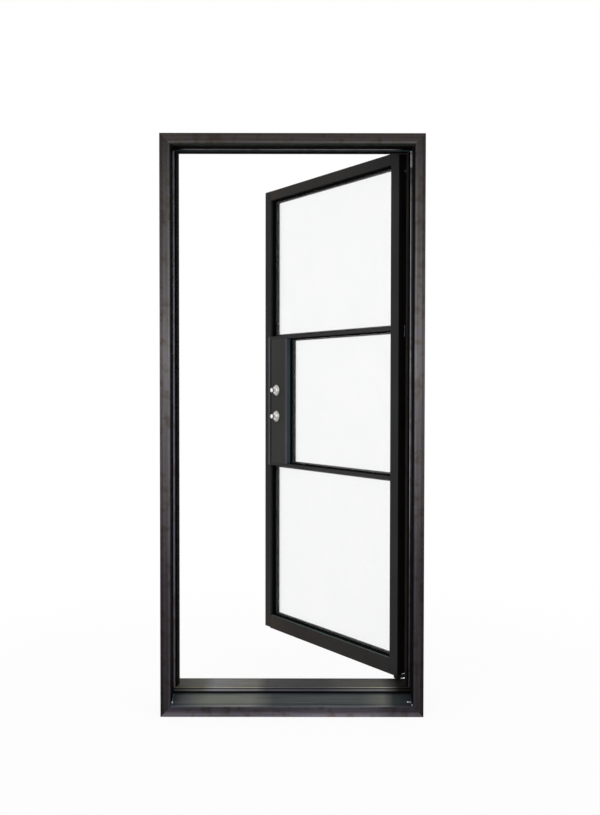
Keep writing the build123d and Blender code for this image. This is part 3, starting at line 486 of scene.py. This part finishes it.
def sprayed_paint(name, span, tones, reveal_painted_light_stops, plain=None):
    """Sprayed charcoal paint: orange peel, faint clouding, a satin sheen and painted shade in the reveals.

    Span is the stretch of the leaf's width, in millimetres, that the tones run over. Plain holds the
    heights below and above which the tones give way to stops that run up the frame's height. Reveal stops
    paint shade darker with depth, and on some parts a reflection near the face.
    """
    paint, tree = new_material(name)
    place = add_node(tree, "ShaderNodeTexCoord").outputs["Object"]
    shut = add_node(tree, "ShaderNodeMapping", {
        "Vector": place, "Rotation": (0, 0, -open_turn), "Location": leaf_shut.to_translation()}).outputs[0]
    apart = add_node(tree, "ShaderNodeSeparateXYZ", {"Vector": shut}).outputs
    peel = add_node(tree, "ShaderNodeTexNoise", {
        "Vector": shut, "Scale": 1 / peel_size, "Detail": 3.0}).outputs[0]
    cloud = add_node(tree, "ShaderNodeTexNoise", {
        "Vector": shut, "Scale": 1 / spray_size, "Detail": 4.0}).outputs[0]
    off = add_node(tree, "ShaderNodeMath", {0: apart["Y"], 1: leaf_middle}, operation="SUBTRACT").outputs[0]
    deep = add_node(tree, "ShaderNodeMath", {0: off}, operation="ABSOLUTE").outputs[0]
    outer = add_node(tree, "ShaderNodeMapRange", {
        "Value": deep, "From Min": reveal_end, "From Max": face_start}).outputs[0]
    along = add_node(tree, "ShaderNodeMapRange", {
        "Value": apart["X"], "From Min": span[0] * mm, "From Max": span[1] * mm}).outputs[0]
    tone = add_node(tree, "ShaderNodeValToRGB", {"Fac": along}, tones).outputs[0]
    if plain:
        low, high, plain_stops = plain
        level = add_node(tree, "ShaderNodeMapRange", {
            "Value": apart["Z"], "From Max": frame_height}).outputs[0]
        quiet = add_node(tree, "ShaderNodeValToRGB", {"Fac": level}, plain_stops).outputs[0]
        over = add_node(tree, "ShaderNodeMapRange", {
            "Value": apart["Z"], "From Min": low, "From Max": low + plain_fade}).outputs[0]
        under = add_node(tree, "ShaderNodeMapRange", {
            "Value": apart["Z"], "From Min": high - plain_fade, "From Max": high,
            "To Min": 1.0, "To Max": 0.0}).outputs[0]
        between = add_node(tree, "ShaderNodeMath", {0: over, 1: under}, operation="MINIMUM").outputs[0]
        tone = add_node(tree, "ShaderNodeMix", {0: between, 6: quiet, 7: tone}, data_type="RGBA").outputs[2]
    shade = add_node(tree, "ShaderNodeMapRange", {
        "Value": cloud, "From Min": 0.3, "From Max": 0.7, "To Min": 0.86, "To Max": 1.14}).outputs[0]
    face = add_node(tree, "ShaderNodeMix", {0: 1.0, 6: tone, 7: shade}, **multiply).outputs[2]
    inwards = add_node(tree, "ShaderNodeMapRange", {"Value": deep, "From Max": leaf_half_depth}).outputs[0]
    reveal_painted_light = add_node(tree, "ShaderNodeValToRGB", {"Fac": inwards}, reveal_painted_light_stops).outputs[0]
    colour = add_node(tree, "ShaderNodeMix", {0: outer, 6: reveal_painted_light, 7: face}, data_type="RGBA").outputs[2]
    satin = add_node(tree, "ShaderNodeMapRange", {
        "Value": cloud, "To Min": 0.42, "To Max": 0.58}).outputs[0]
    sheen = add_node(tree, "ShaderNodeMix", {
        0: outer, 2: sprayed_roughness, 3: satin}, data_type="FLOAT").outputs[0]
    skin = add_node(tree, "ShaderNodeBump", {"Height": peel, "Strength": 0.1, "Distance": peel_depth})
    shader = add_node(tree, "ShaderNodeBsdfPrincipled", {
        "Base Color": colour, "Roughness": sheen, "Normal": skin.outputs[0], "Specular IOR Level": 0.06})
    add_node(tree, "ShaderNodeOutputMaterial", {"Surface": shader.outputs[0]})
    return paint


# Near-black reveals with a little painted shade, darker with depth.
black_reveal = [(0.3, "#060607"), (0.7, "#0d0d0e")]
tube_paint = sprayed_paint(
    "charcoal_paint_tubes", leaf_span, [(0.0, "#322d28"), (1.0, "#2a2a2a"), (0.2, "#2c2a28")], black_reveal)
# Across the lock stile beside the lock box: a painted highlight on its inner arris and a painted shadow
# line at the groove; its reveal carries a teal painted reflection near the face.
strip_low = 838 * mm
strip_high = 1424 * mm
lock_stile_painted_light = [
    (0.0, "#242424"), (1.0, "#212124"), (0.2, "#282828"), (0.5, "#2a2a2b"), (0.62, "#484950"),
    (0.8, "#505158"), (0.87, "#212124")]
plain_stile_stops = [(0.0, "#2e2b27"), (1.0, "#262626"), (0.12, "#2b2926"), (0.3, "#252424")]
lock_stile_paint = sprayed_paint(
    "charcoal_paint_lock_stile", lock_stile_span, lock_stile_painted_light, [(0.5, "#040505"), (0.75, "#232b2e")],
    plain=(strip_low, strip_high, plain_stile_stops))
# The bottom rail's reveal carries a teal painted highlight line near the face, over painted shade.
bottom_rail_paint = sprayed_paint(
    "charcoal_paint_bottom_rail", leaf_span, [(0.0, "#363029"), (1.0, "#2c2b2a"), (0.2, "#2e2a27")],
    [(0.45, "#0b1313"), (0.65, "#56625f")])
bar_paint = sprayed_paint(
    "charcoal_paint_bars", leaf_span, [(0.0, "#2c2b2a"), (1.0, "#333335"), (0.4, "#323133")], black_reveal)
lock_paint = sprayed_paint(
    "charcoal_paint_lock_box", leaf_span, [(0.0, "#343432"), (1.0, "#343432")], black_reveal)
# The mullion's reveal carries a teal painted reflection near the face, over painted shade.
mullion_paint = sprayed_paint(
    "charcoal_paint_mullion", leaf_span, [(0.0, "#48464b"), (1.0, "#48464b")],
    [(0.2, "#050708"), (0.34, "#3a4952")])
dress(tube_paint, "hinge_stile", "top_rail")
dress(lock_stile_paint, "lock_stile")
dress(bottom_rail_paint, "bottom_rail")
dress(bar_paint, "upper_bar", "lower_bar")
dress(lock_paint, "lock_box")
dress(mullion_paint, "lock_mullion")

# Leaf welds: short beads in the inner corners of the tube frame and at the ends of the bars.
# They sit in the front reveals; on the hinge edge, welds near the rails and the upper bar are ground back.
light_lefts = {"lower": -405, "middle": -278, "upper": -405}
light_right = 408
lights = {}
for light, left in light_lefts.items():
    low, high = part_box(f"{light}_glazing_stop")
    lights[light] = (left, low.z / mm, high.z / mm)
reveal_span = (38.0, 59.0)
leaf_runs = []
for left, base, top in lights.values():
    for height in (base + bead_offset, top - bead_offset):
        for corner in (left + bead_offset, light_right - bead_offset):
            leaf_runs.append([(corner, depth, height) for depth in reveal_span])
hinge_edge = leaf_span[1] - bead_offset
spot_span = (62.0, 73.0)
spot_height = 101.4
edge_spots = [[(hinge_edge, depth, spot_height) for depth in spot_span]]
seam_depth = 68.0
seam_spans = ((1386.0, 1426.0), (2006.0, 2011.0))
edge_seam = [[(hinge_edge, seam_depth, height) for height in span] for span in seam_spans]
reveal_bead_width = 3.4
spot_width = 4.4
seam_width = 4.0
leaf_welds = weld_runs("leaf_welds", leaf_runs, reveal_bead_width, painted_weld, leaf_place)
edge_welds = weld_runs("edge_welds", edge_spots, spot_width, ground_weld, leaf_place)
edge_seam_weld = weld_runs("edge_seam_weld", edge_seam, seam_width, rubbed_weld, leaf_place)
leaf_beads = ((leaf_welds, "leaf_steel"), (edge_welds, "bright_steel"), (edge_seam_weld, "leaf_steel"))
for weld, slot in leaf_beads:
    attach(weld, "leaf")

# Glazing: three panes of toughened glass, etched to a pale satin, each between a fixed stop and four beads.
# The beads are square steel bar, screwed from the light into the tubes.
etch_size = 120 * mm


def etched_glass(name):
    """Etched glass: pale and even, light passes but shapes behind it blur away."""
    glass, tree = new_material(name)
    place = add_node(tree, "ShaderNodeTexCoord").outputs["Object"]
    bath = add_node(tree, "ShaderNodeTexNoise", {
        "Vector": place, "Scale": 1 / etch_size, "Detail": 4.0}).outputs[0]
    frost = add_node(tree, "ShaderNodeMapRange", {"Value": bath, "To Min": 0.13, "To Max": 0.17}).outputs[0]
    tint = add_node(tree, "ShaderNodeValToRGB", {"Fac": bath}, [
        (0.3, "#f9fafa"), (0.7, "#fcfcfc")]).outputs[0]
    shader = add_node(tree, "ShaderNodeBsdfPrincipled", {
        "Base Color": tint, "Roughness": frost, "IOR": 1.45, "Transmission Weight": 0.96})
    add_node(tree, "ShaderNodeOutputMaterial", {"Surface": shader.outputs[0]})
    return glass


satin_glass = etched_glass("etched_glass")
bead_paint = sprayed_paint(
    "charcoal_paint_beads", leaf_span, [(0.0, "#1f1f1f"), (1.0, "#262626")],
    [(0.3, "#070707"), (0.9, "#141414")])
for light in lights:
    dress(satin_glass, f"{light}_glass")
    dress(bead_paint, f"{light}_glazing_stop", f"{light}_beads")
dull_patch_size = 18 * mm
line_depth = 0.1 * mm


def bright_steel_finish(name, line_size, colours, roughness):
    """Bare bright steel: a clean grey metal with drawn lines and a few dull patches.

    Line size is that of a drawn line along X, Y and Z. Real lines are finer than a millimetre; these are
    drawn wider, so that they show.
    """
    steel, tree = new_material(name)
    place = add_node(tree, "ShaderNodeTexCoord").outputs["Object"]
    drawn = add_node(tree, "ShaderNodeMapping", {
        "Vector": place, "Scale": [1 / size for size in line_size]}).outputs[0]
    line = add_node(tree, "ShaderNodeTexNoise", {"Vector": drawn, "Scale": 1.0, "Detail": 3.0}).outputs[0]
    patch = add_node(tree, "ShaderNodeTexNoise", {
        "Vector": place, "Scale": 1 / dull_patch_size, "Detail": 4.0}).outputs[0]
    colour = add_node(tree, "ShaderNodeValToRGB", {"Fac": patch}, colours).outputs[0]
    rough = add_node(tree, "ShaderNodeMapRange", {
        "Value": line, "To Min": roughness[0], "To Max": roughness[1]}).outputs[0]
    fine = add_node(tree, "ShaderNodeBump", {"Height": line, "Strength": 0.12, "Distance": line_depth})
    shader = add_node(tree, "ShaderNodeBsdfPrincipled", {
        "Base Color": colour, "Metallic": 1.0, "Roughness": rough, "Normal": fine.outputs[0]})
    add_node(tree, "ShaderNodeOutputMaterial", {"Surface": shader.outputs[0]})
    return steel


screw_steel = bright_steel_finish(
    "zinc_plated_steel", line_size=(2 * mm, 2 * mm, 2 * mm),
    colours=[(0.3, "#8b8a86"), (0.7, "#b4b2ad")], roughness=(0.25, 0.4))


def skinned(name, rings):
    """A closed mesh skinned over rings of points, from the lowest up, and capped at both ends."""
    sides = len(rings[0])
    points = [point for ring in rings for point in ring]
    faces = [list(reversed(range(sides)))]
    for low in range(0, len(points) - sides, sides):
        for number in range(sides):
            after = (number + 1) % sides
            faces.append((low + number, low + after, low + sides + after, low + sides + number))
    faces.append([len(points) - sides + number for number in range(sides)])
    mesh = bpy.data.meshes.new(name)
    mesh.from_pydata(points, [], faces)
    return mesh


screw_sides = 12
dome_share = 0.8
socket_share = 0.42
rise_shares = (-0.1, 0.02, 0.16, 0.24, -0.2)


def screw_head(name, radius):
    """A raised countersunk screw head with a hexagon socket, facing +Z with its seat at the origin."""
    turns = [2 * math.pi * number / screw_sides for number in range(screw_sides)]
    to_flats = [(turn + math.pi / 6) % (math.pi / 3) - math.pi / 6 for turn in turns]
    socket_shares = [socket_share * math.cos(math.pi / 6) / math.cos(to_flat) for to_flat in to_flats]
    rim_shares = [1.0] * screw_sides
    dome_shares = [dome_share] * screw_sides
    ring_shares = (rim_shares, rim_shares, dome_shares, socket_shares, socket_shares)
    rings = []
    for shares, rise_share in zip(ring_shares, rise_shares):
        rings.append([
            (share * radius * math.cos(turn), share * radius * math.sin(turn), rise_share * radius)
            for share, turn in zip(shares, turns)])
    return bpy.data.objects.new(name, skinned(name, rings))


# A screw head on each place, turned by chance up to one radian about its own axis.
screw_tree = bpy.data.node_groups.new("screw_rows", "GeometryNodeTree")
tree_input(screw_tree, "Places", "NodeSocketGeometry")
screw_head_input = tree_input(screw_tree, "Screw head", "NodeSocketObject")
screw_facing_input = tree_input(screw_tree, "Facing", "NodeSocketVector")
screw_finish_input = tree_input(screw_tree, "Finish", "NodeSocketMaterial")
screw_tree.interface.new_socket("Screws", in_out="OUTPUT", socket_type="NodeSocketGeometry")
given = add_node(screw_tree, "NodeGroupInput").outputs
head_shape = add_node(screw_tree, "GeometryNodeObjectInfo", {"Object": given["Screw head"]})
outwards = add_node(screw_tree, "FunctionNodeAlignRotationToVector", {"Vector": given["Facing"]}, axis="Z")
driven = add_node(screw_tree, "GeometryNodeInstanceOnPoints", {
    "Points": given["Places"], "Instance": head_shape.outputs["Geometry"], "Rotation": outwards.outputs[0]})
turned = add_node(screw_tree, "FunctionNodeRandomValue", {2: 0.0, 3: 1.0, "Seed": 7}, data_type="FLOAT")
twist = add_node(screw_tree, "ShaderNodeCombineXYZ", {"Z": turned.outputs[1]})
tightened = add_node(screw_tree, "GeometryNodeRotateInstances", {
    "Instances": driven.outputs[0], "Rotation": twist.outputs[0], "Local Space": True})
solid = add_node(screw_tree, "GeometryNodeRealizeInstances", {0: tightened.outputs[0]})
finished = add_node(screw_tree, "GeometryNodeSetMaterial", {
    "Geometry": solid.outputs[0], "Material": given["Finish"]})
add_node(screw_tree, "NodeGroupOutput", {0: finished.outputs[0]})


def screw_row(name, places, facing, head, place=None):
    """Screws at places in millimetres, all facing one way."""
    points = [[value * mm for value in spot] for spot in places]
    inputs = {screw_head_input: head, screw_facing_input: facing, screw_finish_input: screw_steel}
    return grown(name, points, [], screw_tree, inputs, place)


bead_screw = screw_head("bead_screw", radius=2.6 * mm)
bead_middle = 77.0
bead_side = 10.0
screw_inset = 60.0
row_shares = (0.0, 0.25, 0.5, 0.75, 1.0)
up_facing = []
down_facing = []
right_facing = []
left_facing = []
for left, base, top in reversed(lights.values()):
    for share in row_shares:
        across = left + screw_inset + share * (light_right - left - 2 * screw_inset)
        rise = base + screw_inset + share * (top - base - 2 * screw_inset)
        up_facing.append((across, bead_middle, base + bead_side))
        down_facing.append((across, bead_middle, top - bead_side))
        right_facing.append((left + bead_side, bead_middle, rise))
        left_facing.append((light_right - bead_side, bead_middle, rise))
bead_rows = {
    "bead_screws_base": (up_facing, (0, 0, 1)),
    "bead_screws_top": (down_facing, (0, 0, -1)),
    "bead_screws_lock_side": (right_facing, (1, 0, 0)),
    "bead_screws_hinge_side": (left_facing, (-1, 0, 0)),
}
for name, (places, facing) in bead_rows.items():
    row = screw_row(name, places, facing, bead_screw, leaf_place)
    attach(row, "leaf")

# Bottom sweep: a black rubber blade in its carrier along the leaf's lower edge.
# It closes the gap over the threshold when the leaf is shut; a moulded plug closes the carrier's hinge end.
dress(seal_rubber, "bottom_sweep")
plug_middle = (440, 60)
plug_half = (12, 22.5)
plug_sides = 32
plug_corner_power = 0.35
plug_heights = (84.8, 86.5, 99.5)
plug_width_shares = (0.92, 1.0, 1.0)
plug_rings = []
for share, height in zip(plug_width_shares, plug_heights):
    ring = []
    for number in range(plug_sides):
        turn = 2 * math.pi * number / plug_sides
        across = math.copysign(abs(math.cos(turn)) ** plug_corner_power, math.cos(turn))
        along = math.copysign(abs(math.sin(turn)) ** plug_corner_power, math.sin(turn))
        plug_x = plug_middle[0] + plug_half[0] * share * across
        plug_y = plug_middle[1] + plug_half[1] * share * along
        ring.append((plug_x * mm, plug_y * mm, height * mm))
    plug_rings.append(ring)
plug_mesh = skinned("sweep_hinge_plug", plug_rings)
plug_mesh.transform(leaf_place)
plug_mesh.materials.append(seal_rubber)
plug = bpy.data.objects.new("sweep_hinge_plug", plug_mesh)
bpy.context.scene.collection.objects.link(plug)
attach(plug, "leaf")

# Hinges: three barrel hinges; the lower barrels are welded to the jamb and the upper ones to the leaf.
# Steel pins and washers carry the leaf; the barrels are painted with what they are welded to.
barrel_patch = 40 * mm
# The frame barrels take the jambs' painted reflection up their height.
barrel_paint = faced_steel(
    "sprayed_steel_barrel", brush=(barrel_patch, barrel_patch, barrel_patch), face_at=frame_front,
    rise=(0.0, frame_height), face_painted_light_stops=jamb_painted_reflection, return_paint_and_painted_light_stops=[(0.0, "#232223"), (1.0, "#2a292a")])
pin_steel = bright_steel_finish(
    "turned_steel", line_size=(30 * mm, 30 * mm, 1 * mm),
    colours=[(0.3, "#8f8e8a"), (0.7, "#b9b7b2")], roughness=(0.22, 0.36))
dress(pin_steel, "hinge_pins", "hinge_washers")
frame_foot_sides = (457.6, 470.4)
frame_foot_depth = frame_rear / mm + bead_offset
frame_run_insets = (6.0, 1.0)
leaf_foot = (418.0, 84.8)
leaf_run_insets = (1.5, 6.5)
frame_hinge_runs = []
leaf_hinge_runs = []
for hinge in ("lower", "middle", "upper"):
    dress(barrel_paint, f"{hinge}_frame_barrel")
    dress(tube_paint, f"{hinge}_leaf_barrel")
    low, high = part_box(f"{hinge}_frame_barrel")
    ends = (low.z / mm + frame_run_insets[0], high.z / mm - frame_run_insets[1])
    for side in frame_foot_sides:
        frame_hinge_runs.append([(side, frame_foot_depth, height) for height in ends])
    low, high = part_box(f"{hinge}_leaf_barrel")
    ends = (low.z / mm + leaf_run_insets[0], high.z / mm - leaf_run_insets[1])
    leaf_hinge_runs.append([(*leaf_foot, height) for height in ends])
frame_foot_width = 3.0
leaf_foot_width = 3.4
frame_hinge_welds = weld_runs("frame_hinge_welds", frame_hinge_runs, frame_foot_width, painted_weld)
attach(frame_hinge_welds, "frame")
leaf_hinge_welds = weld_runs("leaf_hinge_welds", leaf_hinge_runs, leaf_foot_width, painted_weld, leaf_place)
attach(leaf_hinge_welds, "leaf")

# Strikes: two pressed steel plates on the lock jamb, each held by two countersunk screws.
# The latch's strike has a curled lip that the bolt rides over.
plate_steel = bright_steel_finish(
    "pressed_steel_plate", line_size=(3 * mm, 3 * mm, 60 * mm),
    colours=[(0.3, "#7d7c79"), (0.7, "#a5a39f")], roughness=(0.28, 0.45))
dress(plate_steel, "deadbolt_strike", "latch_strike")
strike_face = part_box("deadbolt_strike")[1].x / mm
lock_middle = leaf_middle / mm
plate_screw_reach = 31
plate_screw = screw_head("plate_screw", radius=3.4 * mm)
lock_heights = {}
for lock in ("latch", "deadbolt"):
    low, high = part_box(f"{lock}_strike")
    lock_heights[lock] = (low.z + high.z) / 2 / mm
plate_spots = [height + sign * plate_screw_reach for height in lock_heights.values() for sign in (-1, 1)]
strike_places = [(strike_face, lock_middle, height) for height in plate_spots]
strike_screws = screw_row("strike_screws", strike_places, (1, 0, 0), plate_screw)
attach(strike_screws, "frame")

# Mortise locks: folded steel cases with a faceplate in the leaf's edge, a sprung latch and a deadbolt.
# The bolts are drawn by cranks on the knob spindles, seen only through the cases' openings.
dress(plate_steel, "deadbolt_case", "latch_case")
spring_steel = bright_steel_finish(
    "spring_steel", line_size=(2 * mm, 2 * mm, 2 * mm),
    colours=[(0.3, "#6f6f70"), (0.7, "#979796")], roughness=(0.2, 0.35))
bolt_steel = bright_steel_finish(
    "satin_bolt_steel", line_size=(50 * mm, 50 * mm, 2 * mm),
    colours=[(0.3, "#a5a39d"), (0.7, "#c2bfb8")], roughness=(0.25, 0.4))
dress(spring_steel, "latch_spring")
dress(bolt_steel, "deadbolt", "latch_bolt", "deadbolt_spindle", "latch_spindle")
faceplate_places = [(leaf_span[0], lock_middle, height) for height in plate_spots]
faceplate_screws = screw_row("faceplate_screws", faceplate_places, (-1, 0, 0), plate_screw, leaf_place)
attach(faceplate_screws, "leaf")

# Roses and knobs: turned from bar in satin nickel, a conical rose on each face and a small round knob.
# Turning leaves fine rings about the spindle that break the highlight into a soft fan.
# Real rings are about a tenth of a millimetre apart; these are drawn wider, so that they show.
spindle_x = -361 * mm
ring_spacing = 0.9 * mm
ring_depth = 0.1 * mm
haze_size = 14 * mm
painted_highlight_radius = 12 * mm
painted_shade_radius = 24 * mm


def turned_nickel(name, height, colours):
    """Turned satin nickel: fine rings about the spindle, warm light grey, painted shade towards the rim.

    Height is the spindle's, in millimetres. A painted highlight near the spindle fades to the painted
    shade at the rim.
    """
    nickel, tree = new_material(name)
    place = add_node(tree, "ShaderNodeTexCoord").outputs["Object"]
    shut = add_node(tree, "ShaderNodeMapping", {
        "Vector": place, "Rotation": (0, 0, -open_turn), "Location": leaf_shut.to_translation()}).outputs[0]
    apart = add_node(tree, "ShaderNodeSeparateXYZ", {"Vector": shut}).outputs
    across = add_node(tree, "ShaderNodeMath", {0: apart["X"], 1: spindle_x}, operation="SUBTRACT")
    above = add_node(tree, "ShaderNodeMath", {0: apart["Z"], 1: height * mm}, operation="SUBTRACT")
    radial = add_node(tree, "ShaderNodeCombineXYZ", {"X": across.outputs[0], "Y": above.outputs[0]})
    radius = add_node(tree, "ShaderNodeVectorMath", {
        0: radial.outputs[0]}, operation="LENGTH").outputs["Value"]
    ring_place = add_node(tree, "ShaderNodeCombineXYZ", {"X": radius, "Y": apart["Y"]}).outputs[0]
    rings = add_node(tree, "ShaderNodeTexNoise", {
        "Vector": ring_place, "Scale": 1 / ring_spacing, "Detail": 3.0}).outputs[0]
    haze = add_node(tree, "ShaderNodeTexNoise", {
        "Vector": shut, "Scale": 1 / haze_size, "Detail": 3.0}).outputs[0]
    hazed = add_node(tree, "ShaderNodeValToRGB", {"Fac": haze}, colours).outputs[0]
    # Painted highlight and shade: full tone near the spindle, half at the rim.
    painted_highlight_falloff = add_node(tree, "ShaderNodeMapRange", {
        "Value": radius, "From Min": painted_highlight_radius, "From Max": painted_shade_radius,
        "To Min": 1.0, "To Max": 0.5}).outputs[0]
    colour = add_node(tree, "ShaderNodeMix", {0: 1.0, 6: hazed, 7: painted_highlight_falloff}, **multiply).outputs[2]
    rough = add_node(tree, "ShaderNodeMapRange", {
        "Value": rings, "To Min": 0.34, "To Max": 0.52}).outputs[0]
    cut = add_node(tree, "ShaderNodeBump", {"Height": rings, "Strength": 0.15, "Distance": ring_depth})
    shader = add_node(tree, "ShaderNodeBsdfPrincipled", {
        "Base Color": colour, "Metallic": 1.0, "Roughness": rough, "Normal": cut.outputs[0]})
    add_node(tree, "ShaderNodeOutputMaterial", {"Surface": shader.outputs[0]})
    return nickel


for lock, height in lock_heights.items():
    rose_nickel = turned_nickel(f"turned_nickel_{lock}_rose", height, [(0.3, "#d4d3ce"), (0.7, "#e6e5e2")])
    # The knobs are toned near white, partly as a painted highlight.
    knob_nickel = turned_nickel(f"turned_nickel_{lock}_knob", height, [(0.3, "#f4f4f3"), (0.7, "#fefefd")])
    dress(rose_nickel, f"{lock}_front_rose", f"{lock}_rear_rose")
    dress(knob_nickel, f"{lock}_front_knob", f"{lock}_rear_knob")

# Studio: a pale floor that keeps the door's shadow and fades to the white background, with soft lamps.
# The world is white for the eye, for reflections and through glass, and a dim fill for everything else.
floor_reach = 9.0
fade_start = 1.0
fade_end = 2.4
near_white_share = 0.92
fill_strength = 0.72
floor_corners = [
    (-floor_reach, -floor_reach, 0), (floor_reach, -floor_reach, 0), (floor_reach, floor_reach, 0),
    (-floor_reach, floor_reach, 0)]
floor_mesh = bpy.data.meshes.new("floor")
floor_mesh.from_pydata(floor_corners, [], [(0, 1, 2, 3)])
floor = bpy.data.objects.new("floor", floor_mesh)
bpy.context.scene.collection.objects.link(floor)


def background_seen(tree, rays):
    """One for the rays that see the white background: the eye's, reflected ones and those through glass."""
    seen = add_node(tree, "ShaderNodeMath", {
        0: rays["Is Camera Ray"], 1: rays["Is Glossy Ray"]}, operation="ADD").outputs[0]
    return add_node(tree, "ShaderNodeMath", {
        0: seen, 1: rays["Is Transmission Ray"]}, operation="ADD", use_clamp=True).outputs[0]


floor_paint, tree = new_material("pale_floor")
place = add_node(tree, "ShaderNodeTexCoord").outputs["Object"]
away = add_node(tree, "ShaderNodeVectorMath", {0: place}, operation="LENGTH").outputs["Value"]
fade = add_node(tree, "ShaderNodeMapRange", {
    "Value": away, "From Min": fade_start, "From Max": fade_end, "To Min": near_white_share}).outputs[0]
matt = add_node(tree, "ShaderNodeBsdfDiffuse", {"Color": linear("#f6f6f5")})
rays = add_node(tree, "ShaderNodeLightPath").outputs
seen = background_seen(tree, rays)
white_share = add_node(tree, "ShaderNodeMath", {0: seen, 1: fade}, operation="MULTIPLY").outputs[0]
white_share = add_node(tree, "ShaderNodeMath", {
    0: white_share, 1: rays["Is Transmission Ray"]}, operation="MAXIMUM").outputs[0]
white = add_node(tree, "ShaderNodeEmission", {"Strength": 1.0})
blended = add_node(tree, "ShaderNodeMixShader", {0: white_share, 1: matt.outputs[0], 2: white.outputs[0]})
add_node(tree, "ShaderNodeOutputMaterial", {"Surface": blended.outputs[0]})
floor_mesh.materials.append(floor_paint)

world = bpy.data.worlds.new("studio")
bpy.context.scene.world = world
world.use_nodes = True
tree = world.node_tree
tree.nodes.clear()
rays = add_node(tree, "ShaderNodeLightPath").outputs
seen = background_seen(tree, rays)
bright = add_node(tree, "ShaderNodeMapRange", {"Value": seen, "To Min": fill_strength}).outputs[0]
sky = add_node(tree, "ShaderNodeBackground", {"Color": (1, 1, 1, 1), "Strength": bright})
add_node(tree, "ShaderNodeOutputWorld", {"Surface": sky.outputs[0]})

# Each lamp's place, the point that it faces, its size and its power.
lamps = {
    "key": ((-2.8, -5.0, 2.6), (0.0, 0.0, 1.1), 4.0, 110.0),
    "fill": ((3.4, -4.2, 2.4), (0.0, 0.2, 1.0), 3.0, 30.0),
    "back": ((-0.6, 5.6, 0.8), (0.2, 0.3, 1.0), 5.0, 60.0),
}
for name, (spot, target, size, power) in lamps.items():
    lamp = bpy.data.lights.new(name, "AREA")
    lamp.size = size
    lamp.energy = power
    lamp_object = bpy.data.objects.new(name, lamp)
    lamp_object.location = spot
    lamp_object.rotation_euler = (Vector(target) - Vector(spot)).to_track_quat("-Z", "Y").to_euler()
    lamp_object.visible_transmission = False
    bpy.context.scene.collection.objects.link(lamp_object)

# The camera looks level but for a slight dip, in degrees, with hardly any roll or turn.
camera_dip = 1.277
camera_roll = -0.072
camera_turn = -0.024
camera = bpy.data.cameras.new("camera")
camera.sensor_fit = "AUTO"
camera.sensor_width = 36.0
camera.lens = 40.055
camera_object = bpy.data.objects.new("camera", camera)
camera_object.location = (0.0263, -3.3437, 1.1931)
camera_angles = (90 - camera_dip, camera_roll, camera_turn)
camera_object.rotation_euler = [math.radians(angle) for angle in camera_angles]
bpy.context.scene.collection.objects.link(camera_object)
bpy.context.scene.camera = camera_object
bpy.context.scene.view_settings.view_transform = "Standard"
